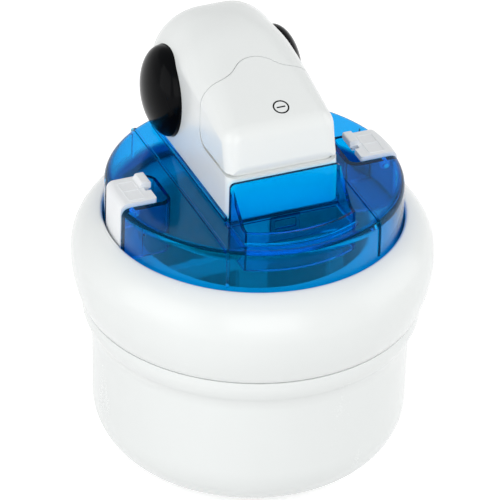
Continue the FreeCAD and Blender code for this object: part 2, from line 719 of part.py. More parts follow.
plate = sketch_on(right_latch, "XY_Plane", "latch_top - latch_plate")
outline(
    plate,
    ("latch_inner", "-latch_front", "lip_round"),
    (on_round("latch_outer", "latch_front"), "-latch_front"),
    (on_round("latch_outer", "latch_back"), "latch_back", "arc", "latch_outer"),
    ("latch_inner", "latch_back", "lip_round"),
)
pad(right_latch, plate, "latch_plate")
leg = sketch_on(right_latch, "XY_Plane", "latch_low")
outline(
    leg,
    (on_round("latch_outer", "latch_front"), "-latch_front"),
    (on_round("latch_outer", "latch_back"), "latch_back", "arc", "latch_outer"),
    (on_round(LATCH_LEG_IN, "latch_back"), "latch_back"),
    (on_round(LATCH_LEG_IN, "latch_front"), "-latch_front", "arc", f"-{LATCH_LEG_IN}"),
)
pad(right_latch, leg, "latch_top - latch_plate / 2 - latch_low")
round_edges(
    right_latch,
    "latch_round",
    lambda edge: near(edge.BoundBox.ZMin, "latch_top") and near(radius_of(edge), "latch_outer"),
)
LATCH_LONG = "latch_front + latch_back"
boss = sketch_on(right_latch, "XZ_Plane", "-latch_back")
circle(boss, "latch_boss", "latch_pivot", "latch_pivot_high")
pad(right_latch, boss, LATCH_LONG)
web = sketch_on(right_latch, "XZ_Plane", "-latch_back")
outline(
    web,
    ("latch_pivot - latch_boss", "latch_pivot_high"),
    ("latch_pivot + latch_boss", "latch_pivot_high"),
    ("latch_pivot + latch_boss", "latch_top - latch_plate / 2"),
    ("latch_pivot - latch_boss", "latch_top - latch_plate / 2"),
)
pad(right_latch, web, LATCH_LONG)
pins = sketch_on(right_latch, "XZ_Plane", "-(notch_back + lid_wall - play)")
circle(pins, "latch_pin", "latch_pivot", "latch_pivot_high")
pad(right_latch, pins, "notch_front + notch_back + 2 * lid_wall - 2 * play")
finger = sketch_on(right_latch, "XZ_Plane", "-(latch_tab_start + latch_tab_wide)")
outline(
    finger,
    ("latch_inner + latch_tab_deep", "latch_top - latch_plate / 2"),
    ("latch_inner + latch_tab_deep", "latch_top"),
    ("latch_inner + latch_tab_deep - latch_tab_rise / 2", "latch_top + latch_tab_rise", "latch_tab_round"),
    ("latch_inner - latch_tab_long", "latch_top + latch_tab_rise", "latch_tab_round"),
    ("latch_inner - latch_tab_long", "latch_top - latch_plate / 2", "latch_tab_round"),
)
pad(right_latch, finger, "latch_tab_wide")


def mirrored(label, source):
    """A copy on the other side of the middle plane."""
    copy = doc.addObject("Part::Mirroring", label)
    copy.Source = source
    copy.Normal = Vector(1, 0, 0)
    return copy


left_latch = mirrored("left_latch", right_latch)


# Motor unit: a padded side profile whose side edges are rounded more and more from the nose to the dome
FOOT = "lid_top + play"
ROUNDS = [size_of(f"side_round_{place}") for place in range(1, 10)] + [size_of("motor_rear_round")]


def motor_profile(label):
    """Side view of the motor unit: upright front, leaning nose, slope, dome and leaning back."""
    body = new_body(label)
    sketch = sketch_on(body, "YZ_Plane")
    outline(
        sketch,
        ("-motor_front", FOOT),
        ("motor_back", FOOT),
        ("dome_back", "lid_top + motor_top", "dome_round"),
        ("brow_place", "lid_top + motor_top", "brow_round"),
        ("-nose_reach", "lid_top + nose_high", "nose_round"),
        ("-motor_front", "lid_top + front_high", "front_bend"),
    )
    return body, sketch


def round_sides(label, base, half, shrink):
    """Round both side edges of the motor form, with a radius that changes along the profile."""
    middle = Vector(0, size_of("motor_back - motor_front") / 2, size_of("lid_top"))
    floor = base.Shape.BoundBox.ZMin

    def along(point):
        return round(math.atan2(point.z - middle.z, point.y - middle.y), 6)

    side_edges = []
    for place, edge in enumerate(base.Shape.Edges, start=1):
        ends = [vertex.Point for vertex in edge.Vertexes]
        on_side = all(abs(abs(point.x) - half) < TOUCH for point in ends) and ends[0].x * ends[-1].x > 0
        if on_side and max(point.z for point in ends) > floor + TOUCH:
            side_edges.append((place, edge))
    angles = {along(vertex.Point) for _, edge in side_edges for vertex in edge.Vertexes}
    radius_at = {angle: radius - shrink for angle, radius in zip(sorted(angles, reverse=True), ROUNDS)}
    rounded = doc.addObject("Part::Fillet", label)
    rounded.Base = base
    rounded.Edges = [
        (
            place,
            radius_at[along(edge.firstVertex().Point)],
            radius_at[along(edge.lastVertex().Point)],
        )
        for place, edge in side_edges
    ]
    doc.recompute()
    return rounded


motor_block, motor_sketch = motor_profile("motor_block")
pad(motor_block, motor_sketch, "2 * motor_half", middle=True)
motor_form = round_sides("motor_form", motor_block, size_of("motor_half"), 0)
inner_profile = doc.addObject("Part::Offset2D", "inner_profile")
inner_profile.Source = motor_sketch
inner_profile.Join = "Intersection"
bind(inner_profile, Value="-wall")
doc.recompute()
hollow_block = doc.addObject("Part::Extrusion", "hollow_block")
hollow_block.Base = inner_profile
hollow_block.Solid = True
hollow_block.Symmetric = True
hollow_block.DirMode = "Custom"
hollow_block.Dir = Vector(1, 0, 0)
bind(hollow_block, LengthFwd="2 * (motor_half - wall)")
doc.recompute()
hollow_form = round_sides("hollow_form", hollow_block, size_of("motor_half - wall"), size_of("wall"))

# Shell of the motor unit: its form less the hollow and the opening of its foot


def boolean(kind, label, first, *others):
    """A cut, fuse or common of document objects, as a chain of two at a time."""
    result = first
    for place, other in enumerate(others, start=1):
        step = doc.addObject(f"Part::{kind}", label if place == len(others) else f"{label}_{place}")
        step.Base = result
        step.Tool = other
        result = step
    doc.recompute()
    return result


def cylinder(label, radius, height, x="0", y="0", z="0", axis=Vector(0, 0, 1)):
    """A cylinder that starts at a point and runs along an axis."""
    rod = doc.addObject("Part::Cylinder", label)
    rod.Placement = Placement(Vector(), Rotation(Vector(0, 0, 1), axis))
    bind(rod, Placement__Base__x=x, Placement__Base__y=y, Placement__Base__z=z)
    return bind(rod, Radius=radius, Height=height)


def block(label, low, high):
    """A box between two corners."""
    box = doc.addObject("Part::Box", label)
    names = ("Length", "Width", "Height")
    for name, axis, start, end in zip(names, "xyz", low, high):
        bind(box, **{name: f"({end}) - ({start})", f"Placement__Base__{axis}": start})
    return box


def foot_plan(sketch, gap):
    """Plan of the motor unit's inside at its foot."""
    half = f"(motor_half - wall - {gap})"
    front = f"-(motor_front - wall - {gap})"
    back = f"motor_back - wall - {gap}"
    outline(
        sketch,
        (f"-{half}", front, "chute_corner"),
        (half, front, "chute_corner"),
        (half, back, "motor_rear_round - wall"),
        (f"-{half}", back, "motor_rear_round - wall"),
    )


foot_opening = new_body("foot_opening")
foot_sketch = sketch_on(foot_opening, "XY_Plane", "lid_top")
foot_plan(foot_sketch, "0")
pad(foot_opening, foot_sketch, "play + wall + snug")
motor_shell = boolean("Cut", "motor_shell", motor_form, hollow_form, foot_opening)


def nose_region(label, gap, low):
    """Space of the nose button: a bell in plan, with rounded lower corners in side view."""
    bell = new_body(f"{label}_bell")
    plan_view = sketch_on(bell, "XY_Plane", "lid_top")
    outline(
        plan_view,
        ("-2 * motor_half", "-2 * motor_front"),
        ("2 * motor_half", "-2 * motor_front"),
        ("2 * motor_half", f"bell_side + {gap}"),
        ("bell_waist_half", f"{gap} - bell_waist", "bell_round"),
        ("bell_apex_half", f"bell_apex + {gap}", "bell_round"),
        ("-bell_apex_half", f"bell_apex + {gap}", "bell_round"),
        ("-bell_waist_half", f"{gap} - bell_waist", "bell_round"),
        ("-2 * motor_half", f"bell_side + {gap}"),
    )
    pad(bell, plan_view, "motor_top + wall")
    flank = new_body(f"{label}_flank")
    side_view = sketch_on(flank, "YZ_Plane")
    outline(
        side_view,
        ("-2 * motor_front", f"lid_top + {low}"),
        (f"cap_side + {gap}", f"lid_top + {low}", "cap_corner"),
        (f"cap_side + {gap}", "lid_top + cap_side_top"),
        (f"bell_apex + 2 * wall + {gap}", "lid_top + cap_side_top + 2 * wall"),
        (f"bell_apex + 2 * wall + {gap}", "lid_top + motor_top + wall"),
        ("-2 * motor_front", "lid_top + motor_top + wall"),
    )
    pad(flank, side_view, "4 * motor_half", middle=True)
    return boolean("Common", label, bell, flank)


cap_region = nose_region("cap_region", "0", "cap_low")
cap_opening = nose_region("cap_opening", "seam_play", "(cap_low - cap_travel_gap)")

# Release buttons: an oval opening in each side of the housing, with a domed black button in it
EAR_MIDDLE = "lid_top + ear_high"


def oval(label, grow, start, end):
    """An oval prism across the motor unit's right side."""
    ring = doc.addObject("Part::Ellipse", f"{label}_ring")
    bind(ring, MajorRadius=f"ear_tall + {grow}", MinorRadius=f"ear_long + {grow}")
    ring.Placement = Placement(Vector(), Rotation(Vector(0, 1, 0), -90))
    bind(ring, Placement__Base__x=start, Placement__Base__y="ear_place", Placement__Base__z=EAR_MIDDLE)
    prism = doc.addObject("Part::Extrusion", label)
    prism.Base = ring
    prism.Solid = True
    prism.DirMode = "Custom"
    prism.Dir = Vector(1, 0, 0)
    bind(prism, LengthFwd=f"({end}) - ({start})")
    doc.recompute()
    return prism


OUTSIDE = "motor_half + 2 * ear_proud"
ear_opening = oval("ear_opening", "play", "motor_half - 3 * ear_skirt", OUTSIDE)
left_ear_opening = mirrored("left_ear_opening", ear_opening)

dome = doc.addObject("Part::Ellipsoid", "ear_dome")
dome.Angle3 = 180
dome.Placement = Placement(Vector(), Rotation(Vector(0, 0, 1), -90))
bind(dome, Radius1="ear_tall", Radius2="ear_long", Radius3="ear_proud")
bind(dome, Placement__Base__x="motor_half", Placement__Base__y="ear_place", Placement__Base__z=EAR_MIDDLE)
skirt = oval("ear_skirt_form", "0", "motor_half - ear_skirt", "motor_half")
stop_lip = oval("ear_stop_form", "ear_lip", "motor_half - ear_skirt", "motor_half - wall - play")
front_part = block(
    "ear_front_part",
    ("0", "0", "lid_top"),
    ("motor_half", "ear_place", f"{EAR_MIDDLE} + ear_tall / 2"),
)
ear_lip_part = boolean("Common", "ear_lip_part", stop_lip, front_part)
inner_oval = oval("ear_inner", "-ear_wall", "motor_half - 4 * ear_skirt", "motor_half - ear_wall / 2")
right_release_button = boolean(
    "Cut", "right_release_button", boolean("Fuse", "ear_solid", dome, skirt, ear_lip_part), inner_oval
)
left_release_button = mirrored("left_release_button", right_release_button)

# Housing of the motor unit: the shell with its screw bosses, less the openings for buttons and lead
SCREWS = [
    ("screw_front_half", "-screw_front"),
    ("-screw_front_half", "-screw_front"),
    ("screw_back_half", "screw_back"),
    ("-screw_back_half", "screw_back"),
]
PLATE_TOP = f"{FOOT} + plate_thick"
bosses = [
    cylinder(f"boss_{place}", "screw_boss", "screw_long", x, y, f"{PLATE_TOP} + snug")
    for place, (x, y) in enumerate(SCREWS)
]
boss_holes = [
    cylinder(f"boss_hole_{place}", "screw_radius", "screw_long", x, y, f"{PLATE_TOP} - snug")
    for place, (x, y) in enumerate(SCREWS)
]
BACK_LEAN = math.atan2(size_of("dome_back - motor_back"), size_of("motor_top - play"))
LEANING = Placement(
    Vector(),
    Rotation(Vector(1, 0, 0), -math.degrees(BACK_LEAN)),
    Vector(0, size_of("motor_back"), size_of(FOOT)),
)
gland_opening = new_body("gland_opening")
gland_circle = sketch_on(gland_opening, "XZ_Plane", "-(motor_back - 2 * wall)")
circle(gland_circle, "gland_hole", "0", "lid_top + gland_high")
gland_cut = pad(gland_opening, gland_circle, "4 * wall")
gland_cut.Reversed = True
gland_opening.Placement = LEANING
doc.recompute()
boss_shell = boolean("Common", "boss_shell", boolean("Fuse", "bosses", *bosses), motor_form)
motor_housing = boolean(
    "Cut",
    "motor_housing",
    boolean("Fuse", "housing_solid", motor_shell, boss_shell),
    cap_opening,
    ear_opening,
    left_ear_opening,
    gland_opening,
    *boss_holes,
)

# Nose button: front of the shell inside the bell seam, with a tongue behind the front face and a presser
tongue = block(
    "tongue",
    ("-tongue_half", "-(motor_front - wall - play)", "lid_top + tongue_low"),
    ("tongue_half", "-tongue_back", "lid_top + cap_low + 4 * wall"),
)
presser = cylinder(
    "presser_rod",
    "presser_radius",
    "motor_top",
    "0",
    "-presser_place",
    "lid_top + switch_stand + switch_tall + switch_key + wall",
)
presser_part = boolean("Common", "presser_part", presser, motor_form)
nose_shell = boolean("Common", "nose_shell", motor_shell, cap_region)
bevel_body = new_body("cap_bevel_form")
bevel_view = sketch_on(bevel_body, "YZ_Plane")
outline(
    bevel_view,
    ("-(motor_front + wall)", "lid_top + cap_low - wall"),
    ("-(motor_front - cap_bevel)", "lid_top + cap_low - wall"),
    ("-(motor_front - cap_bevel)", "lid_top + cap_low"),
    ("-(motor_front - play / 2)", "lid_top + cap_low + cap_bevel_high"),
    ("-(motor_front + wall)", "lid_top + cap_low + cap_bevel_high"),
)
pad(bevel_body, bevel_view, "3 * motor_half", middle=True)
bevelled_shell = boolean("Cut", "bevelled_shell", nose_shell, bevel_body)
nose_button = boolean("Fuse", "nose_button", bevelled_shell, tongue, presser_part)

# Floor of the motor unit: plate inside the foot, with screw seats, the bush's hole and the switch's stand
motor_base_plate = new_body("motor_base_plate")
floor_plan = sketch_on(motor_base_plate, "XY_Plane", FOOT)
foot_plan(floor_plan, "snug")
circle(floor_plan, "bush_outer")
for x, y in SCREWS:
    circle(floor_plan, "screw_radius + snug", x, y)
pad(motor_base_plate, floor_plan, "plate_thick")
stand = sketch_on(motor_base_plate, "XY_Plane", FOOT)
SWITCH_FRONT = "-(presser_place + switch_deep / 2)"
SWITCH_BACK = "switch_deep / 2 - presser_place"


def switch_plan(sketch):
    outline(
        sketch,
        ("-switch_half", SWITCH_FRONT),
        ("switch_half", SWITCH_FRONT),
        ("switch_half", SWITCH_BACK),
        ("-switch_half", SWITCH_BACK),
    )


switch_plan(stand)
pad(motor_base_plate, stand, "switch_stand - play")
seats = sketch_on(motor_base_plate, "XY_Plane", FOOT)
for x, y in SCREWS:
    circle(seats, "screw_head + snug", x, y)
pocket(motor_base_plate, seats, "screw_sink", upwards=True)

# Screws that hold the floor to the housing
base_screws = new_body("base_screws")
heads = sketch_on(base_screws, "XY_Plane", f"{FOOT} + snug")
shanks = sketch_on(base_screws, "XY_Plane", f"{FOOT} + snug")
for x, y in SCREWS:
    circle(heads, "screw_head", x, y)
    circle(shanks, "screw_radius - run_play", x, y)
pad(base_screws, heads, "screw_sink - snug")
pad(base_screws, shanks, "screw_long - screw_sink")

# Inlet for the mains lead: a flanged ring in the back of the housing
cord_gland = new_body("cord_gland")
barrel = sketch_on(cord_gland, "XZ_Plane", "-(motor_back - 2 * wall)")
circle(barrel, "gland_hole - run_play", "0", "lid_top + gland_high")
gland_barrel = pad(cord_gland, barrel, "2 * wall + gland_proud")
gland_barrel.Reversed = True
flange = sketch_on(cord_gland, "XZ_Plane", "-motor_back")
circle(flange, "gland_flange", "0", "lid_top + gland_high")
gland_ring = pad(cord_gland, flange, "gland_proud")
gland_ring.Reversed = True
doc.recompute()
gland_way = sketch_on(cord_gland, "XZ_Plane", "-(motor_back + wall)")
circle(gland_way, "gland_bore", "0", "lid_top + gland_high")
pocket(cord_gland, gland_way, "4 * wall", upwards=True)
cord_gland.Placement = LEANING
doc.recompute()

# Switch under the nose button, with its key
power_switch = new_body("power_switch")
switch_case = sketch_on(power_switch, "XY_Plane", "lid_top + switch_stand")
switch_plan(switch_case)
pad(power_switch, switch_case, "switch_tall")
key = sketch_on(power_switch, "XY_Plane", "lid_top + switch_stand")
circle(key, "presser_radius - snug", "0", "-presser_place")
pad(power_switch, key, "switch_tall + switch_key")

# Bush in which the drive shaft turns
shaft_bush = new_body("shaft_bush")
bush_ring = sketch_on(shaft_bush, "XY_Plane", FOOT)
circle(bush_ring, "bush_outer - run_play")
circle(bush_ring, "shaft_radius + run_play")
pad(shaft_bush, bush_ring, "bush_high")

# Gear wheels: a disc at the root circle, one tooth, and the tooth repeated round the disc
WHEEL_PITCH = "gear_module * wheel_teeth / 2"
SMALL_PITCH = "gear_module * small_teeth / 2"
PINION_PITCH = "gear_module * pinion_teeth / 2"
STAGE_PLACE = f"({WHEEL_PITCH} + {SMALL_PITCH})"
MOTOR_PLACE = f"({STAGE_PLACE} + {WHEEL_PITCH} + {PINION_PITCH})"
FLANK_LEAN = "tan(flank_angle)"


def wheel(body, teeth, low, thick, turn=0):
    """A toothed wheel round the body's own Z axis, turned by an angle so that it meshes."""
    pitch = f"gear_module * {teeth} / 2"
    disc = sketch_on(body, "XY_Plane", low)
    circle(disc, f"{pitch} - gear_module * tooth_root")
    pad(body, disc, thick)
    tooth = sketch_on(body, "XY_Plane", low)
    tooth.AttachmentOffset = Placement(Vector(0, 0, size_of(low)), Rotation(Vector(0, 0, 1), turn))
    bind(tooth, AttachmentOffset__Base__z=low)
    tip_half = f"(tooth_thick / 2 - tooth_tip * {FLANK_LEAN}) * gear_module"
    root_half = f"(tooth_thick / 2 + tooth_root * {FLANK_LEAN}) * gear_module"
    tip_radius = f"{pitch} + gear_module * tooth_tip"
    root_radius = f"{pitch} - gear_module * tooth_root"
    foot_radius = f"{root_radius} - gear_module / 2"
    outline(
        tooth,
        (f"-{root_half}", foot_radius),
        (root_half, foot_radius),
        (root_half, root_radius),
        (tip_half, tip_radius),
        (f"-{tip_half}", tip_radius),
        (f"-{root_half}", root_radius),
    )
    first = pad(body, tooth, thick)
    ring = body.newObject("PartDesign::PolarPattern", f"{body.Name}_teeth")
    ring.Originals = [first]
    ring.Axis = (disc, ["N_Axis"])
    ring.Angle = 360
    bind(ring, Occurrences=teeth)
    body.Tip = ring
    doc.recompute()


def bore(body, radius, low, length):
    hole = sketch_on(body, "XY_Plane", low)
    circle(hole, radius)
    pocket(body, hole, length, upwards=True)


output_gear = new_body("output_gear")
wheel(output_gear, "wheel_teeth", "lid_top + wheel_low", "wheel_thick")
bore(output_gear, "shaft_radius + run_play", "lid_top", "motor_top")

compound_gear = new_body("compound_gear")
wheel(
    compound_gear,
    "small_teeth",
    "lid_top + wheel_low",
    "stage_low - wheel_low + snug",
    turn=180 / size_of("small_teeth"),
)
wheel(compound_gear, "wheel_teeth", "lid_top + stage_low", "stage_thick")
bore(compound_gear, "axle_radius + run_play", "lid_top", "motor_top")
bind(compound_gear, Placement__Base__y=STAGE_PLACE)

motor_pinion = new_body("motor_pinion")
wheel(
    motor_pinion,
    "pinion_teeth",
    "lid_top + stage_low",
    "stage_thick",
    turn=180 / size_of("pinion_teeth"),
)
spindle = sketch_on(motor_pinion, "XY_Plane", "lid_top + stage_low")
circle(spindle, "spindle_radius")
pad(motor_pinion, spindle, "deck_low + deck_thick + spindle_long - stage_low")
bind(motor_pinion, Placement__Base__y=MOTOR_PLACE)

# Drive shaft: round in its bearings, square where it drives the paddle
drive_shaft = new_body("drive_shaft")
shaft_round = sketch_on(drive_shaft, "XY_Plane", "shaft_square_top")
circle(shaft_round, "shaft_radius")
pad(drive_shaft, shaft_round, "lid_top + deck_low + deck_thick - shaft_square_top")


def square(sketch, half):
    outline(
        sketch,
        (f"-{half}", f"-{half}"),
        (half, f"-{half}"),
        (half, half),
        (f"-{half}", half),
    )


shaft_end = sketch_on(drive_shaft, "XY_Plane", "shaft_low")
square(shaft_end, "shaft_square / 2")
pad(drive_shaft, shaft_end, "shaft_square_top + wall - shaft_low")

# Gearbox plate on four posts, with holes for shaft, axle and motor
gearbox_plate = new_body("gearbox_plate")
deck = sketch_on(gearbox_plate, "XY_Plane", "lid_top + deck_low")
outline(
    deck,
    ("-deck_half", "-deck_front", "post_radius"),
    ("deck_half", "-deck_front", "post_radius"),
    ("deck_half", "deck_back", "post_radius"),
    ("-deck_half", "deck_back", "post_radius"),
)
circle(deck, "shaft_radius + run_play")
circle(deck, "axle_radius + run_play", "0", STAGE_PLACE)
circle(deck, "neck_radius + snug", "0", MOTOR_PLACE)
pad(gearbox_plate, deck, "deck_thick")
posts = sketch_on(gearbox_plate, "XY_Plane", PLATE_TOP)
for side in SIDES:
    circle(posts, "post_radius", f"{side} * post_half", "-post_front")
    circle(posts, "post_radius", f"{side} * post_half", "post_back")
pad(gearbox_plate, posts, f"lid_top + deck_low + deck_thick / 2 - ({PLATE_TOP})")

compound_axle = cylinder(
    "compound_axle",
    "axle_radius",
    f"lid_top + deck_low + deck_thick - ({PLATE_TOP})",
    "0",
    STAGE_PLACE,
    PLATE_TOP,
)

# Motor: a can with a neck in the gearbox plate, a bearing cap on top and a hole for the spindle
drive_motor = new_body("drive_motor")
CAN_LOW = "lid_top + deck_low + deck_thick"
neck = sketch_on(drive_motor, "XY_Plane", "lid_top + deck_low")
circle(neck, "neck_radius", "0", MOTOR_PLACE)
pad(drive_motor, neck, "deck_thick + wall")
can = sketch_on(drive_motor, "XY_Plane", CAN_LOW)
circle(can, "can_radius", "0", MOTOR_PLACE)
pad(drive_motor, can, "can_long")
round_edges(drive_motor, "lip_round", lambda edge: near(edge.BoundBox.ZMin, f"{CAN_LOW} + can_long"))
bearing_cap = sketch_on(drive_motor, "XY_Plane", CAN_LOW)
circle(bearing_cap, "neck_radius", "0", MOTOR_PLACE)
pad(drive_motor, bearing_cap, "can_long + wall")
spindle_hole = sketch_on(drive_motor, "XY_Plane", "lid_top")
circle(spindle_hole, "spindle_radius + run_play", "0", MOTOR_PLACE)
pocket(drive_motor, spindle_hole, "deck_low + deck_thick + spindle_long + wall", upwards=True)

# Paddle: flat frame with two windows, hung on a hub with a square socket
mixing_paddle = new_body("mixing_paddle")
frame = sketch_on(mixing_paddle, "XZ_Plane")
outline(
    frame,
    ("-paddle_half", "paddle_low", "paddle_round"),
    ("paddle_half", "paddle_low", "paddle_round"),
    ("paddle_half", "paddle_top", "chute_corner"),
    ("-paddle_half", "paddle_top", "chute_corner"),
)
WINDOWS = [("paddle_bar", "paddle_half - paddle_bar"), ("paddle_bar - paddle_half", "-paddle_bar")]
for left, right in WINDOWS:
    outline(
        frame,
        (left, "paddle_low + paddle_bar", "chute_corner"),
        (right, "paddle_low + paddle_bar", "chute_corner"),
        (right, "paddle_top - paddle_bar", "chute_corner"),
        (left, "paddle_top - paddle_bar", "chute_corner"),
    )
pad(mixing_paddle, frame, "paddle_thick", middle=True)
hub = sketch_on(mixing_paddle, "XY_Plane", "paddle_top - paddle_bar")
circle(hub, "hub_radius")
pad(mixing_paddle, hub, "hub_top - paddle_top + paddle_bar")
socket = sketch_on(mixing_paddle, "XY_Plane", "hub_top")
square(socket, "(shaft_square / 2 + socket_play)")
pocket(mixing_paddle, socket, "hub_top - shaft_low + wall")

NODES = [
    lower_body,
    rubber_feet,
    upper_ring,
    bowl_liner,
    bowl_jacket,
    coolant_fill,
    bowl_rim,
    lid_shell,
    filler_chute,
    left_latch,
    right_latch,
    motor_housing,
    nose_button,
    left_release_button,
    right_release_button,
    motor_base_plate,
    base_screws,
    cord_gland,
    power_switch,
    shaft_bush,
    output_gear,
    compound_gear,
    motor_pinion,
    drive_shaft,
    gearbox_plate,
    compound_axle,
    drive_motor,
    mixing_paddle,
]


# Every object has to be sound before a file is written
doc.recompute()
for item in doc.Objects:
    if {"Invalid", "Error"} & set(item.State):
        raise RuntimeError(f"{item.Name} failed: {item.State}")
os.makedirs("parts", exist_ok=True)
for node in NODES:
    shape = node.Shape
    if shape.isNull() or not shape.isValid():
        raise RuntimeError(f"{node.Label}: bad shape")
    shape.exportStep(os.path.join("parts", f"{node.Label}.step"))
    print(f"{node.Label}: {len(shape.Solids)} solid(s), {shape.Volume / 1000:.2f} cm3")
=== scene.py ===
import json
import math
from functools import partial

import bmesh
import bpy
from mathutils import Matrix, Vector
from mathutils.bvhtree import BVHTree


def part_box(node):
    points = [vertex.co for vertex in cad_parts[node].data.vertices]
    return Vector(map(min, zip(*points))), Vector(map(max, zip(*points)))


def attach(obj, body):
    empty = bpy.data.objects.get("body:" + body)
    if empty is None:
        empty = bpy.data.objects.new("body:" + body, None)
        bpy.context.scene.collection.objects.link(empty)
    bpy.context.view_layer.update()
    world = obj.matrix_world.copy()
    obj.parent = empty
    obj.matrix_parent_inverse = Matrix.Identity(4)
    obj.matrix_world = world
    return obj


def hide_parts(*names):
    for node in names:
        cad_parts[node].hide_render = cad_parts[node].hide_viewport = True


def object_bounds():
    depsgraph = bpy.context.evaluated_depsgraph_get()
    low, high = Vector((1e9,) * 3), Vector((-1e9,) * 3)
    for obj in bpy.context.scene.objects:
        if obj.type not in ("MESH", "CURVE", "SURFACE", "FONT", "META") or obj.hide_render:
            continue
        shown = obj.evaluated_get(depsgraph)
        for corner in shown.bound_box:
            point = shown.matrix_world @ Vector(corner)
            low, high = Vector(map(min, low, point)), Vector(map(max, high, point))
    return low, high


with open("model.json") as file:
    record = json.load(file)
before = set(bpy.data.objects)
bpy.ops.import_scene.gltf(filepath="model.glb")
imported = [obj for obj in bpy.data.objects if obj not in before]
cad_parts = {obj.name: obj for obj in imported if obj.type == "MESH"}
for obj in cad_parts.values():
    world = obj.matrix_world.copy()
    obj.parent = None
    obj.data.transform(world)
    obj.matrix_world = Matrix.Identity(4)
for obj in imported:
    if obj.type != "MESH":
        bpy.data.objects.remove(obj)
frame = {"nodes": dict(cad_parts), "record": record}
CAD_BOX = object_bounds()

# Tub, injection moulded in glossy white plastic as one turned shell.
# It has a broadly rounded foot, a shoulder below the seam and a spigot that takes the ring.
# A rib on its floor carries the freezer bowl, and four seats below it hold the feet.
TUB_RADIUS = 0.092
TUB_FLARE = 0.0013
TUB_ROUND = 0.0325
TUB_FLOOR = 0.002
SHELL_WALL = 0.0025
SHOULDER_LOW = 0.0835
SHOULDER_HIGH = 0.0925
SHOULDER_ROUND = 0.017
SEAM_RADIUS = 0.0994
SEAM_HEIGHT = 0.1015
SPIGOT_RADIUS = 0.0966
SPIGOT_INNER = 0.0942
SPIGOT_TOP = 0.108
SEAT_INNER = 0.050
SEAT_OUTER = 0.053
SEAT_TOP = 0.014
FOOT_RADIUS = 0.009
FOOT_SEAT = 0.00905
FOOT_SEAT_TOP = 0.00305
FOOT_SEAT_SEGMENTS = 64
MOULD_EDGE = 0.0005
ARC_STEP = math.radians(3)
ARC_LEAST = 2
TURNED_SEGMENTS = 240
TURNED_CORE = 0.02
WELD = 0.000001
SHARP_ANGLE = math.radians(32)
WHITE = (0.838, 0.863, 0.855)
FLOW_PATCH = 0.035
FLOW_DETAIL = 3.0
FLOW_DRAWN_OUT = (1.0, 1.0, 0.4)
FLOW_DULL = 0.08
PORE_PATCH = 0.0009
PORE_DETAIL = 4.0
PORE_DULL = 0.03
COAT_DULL = 0.08
BODIES = frame["record"]["behaviour"]["bodies"]
BODY_OF = {node: body for body, nodes in BODIES.items() for node in nodes}


class Nodes:
    """A node tree, with one way to add any node to it."""

    def __init__(self, tree):
        self.tree = tree

    def feed(self, socket, value):
        """Link a wire to a socket, or set the socket to a plain value."""
        if isinstance(value, Wire):
            self.tree.links.new(value.socket, socket)
        else:
            socket.default_value = value

    def add(self, kind, settings, sockets, result=0):
        """A node of a kind, with its settings first and then its sockets' values or wires."""
        node = self.tree.nodes.new(kind)
        for setting, value in settings.items():
            setattr(node, setting, value)
        for socket, value in sockets.items():
            self.feed(node.inputs[socket], value)
        return Wire(self, node.outputs[result])


class Wire:
    """A node's result, so that a sum, difference or product of wires adds its Math node."""

    def __init__(self, nodes, socket):
        self.nodes = nodes
        self.socket = socket

    def maths(self, operation, first, second):
        """The result of a Math node on two values or wires."""
        return self.nodes.add("ShaderNodeMath", {"operation": operation}, {0: first, 1: second})

    def __add__(self, other):
        return self.maths("ADD", self, other)

    __radd__ = __add__

    def __mul__(self, other):
        return self.maths("MULTIPLY", self, other)

    __rmul__ = __mul__

    def __sub__(self, other):
        return self.maths("SUBTRACT", self, other)

    def __rsub__(self, other):
        return self.maths("SUBTRACT", other, self)


class Finish(Nodes):
    """A material, with its shader's sockets and the patterns that several finishes share."""

    def __init__(self, name, sockets):
        self.material = bpy.data.materials.new(name)
        self.material.use_nodes = True
        super().__init__(self.material.node_tree)
        self.shader = self.tree.nodes["Principled BSDF"]
        self.set(sockets)

    def set(self, sockets):
        """Give the shader's sockets their values or wires."""
        for socket, value in sockets.items():
            self.feed(self.shader.inputs[socket], value)

    def noise(self, patch, detail=2.0, stretch=(1.0, 1.0, 1.0)):
        """Soft noise from 0 to 1, whose patches are about a size across."""
        place = self.add("ShaderNodeTexCoord", {}, {}, "Object")
        drawn_out = self.add("ShaderNodeMapping", {}, {"Vector": place, "Scale": stretch})
        return self.add("ShaderNodeTexNoise", {}, {
            "Vector": drawn_out,
            "Scale": 1 / patch,
            "Detail": detail,
        })

    def tone(self, share, first, second):
        """A colour between two others."""
        factor, low, high, mixed = 0, 6, 7, 2
        colours = {factor: share, low: (*first, 1), high: (*second, 1)}
        return self.add("ShaderNodeMix", {"data_type": "RGBA"}, colours, mixed)

    def relief(self, height, depth):
        """A bump of a depth in metres."""
        return self.add("ShaderNodeBump", {}, {"Height": height, "Distance": depth})


def moulded(name, colour, dull, grain, mottle=0.03, coat=0.0, shine=0.5):
    """Moulded plastic: faint flow marks in gloss and colour, and the grain of the mould's face."""
    finish = Finish(name, {
        "Specular IOR Level": shine,
        "Coat Weight": coat,
        "Coat Roughness": COAT_DULL,
    })
    flow = finish.noise(FLOW_PATCH, FLOW_DETAIL, FLOW_DRAWN_OUT)
    pores = finish.noise(PORE_PATCH, PORE_DETAIL)
    shaded = [channel * (1 - mottle) for channel in colour]
    finish.set({
        "Base Color": finish.tone(flow, shaded, colour),
        "Roughness": dull + FLOW_DULL * (flow - 0.5) + PORE_DULL * pores,
        "Normal": finish.relief(pores, grain),
    })
    return finish.material


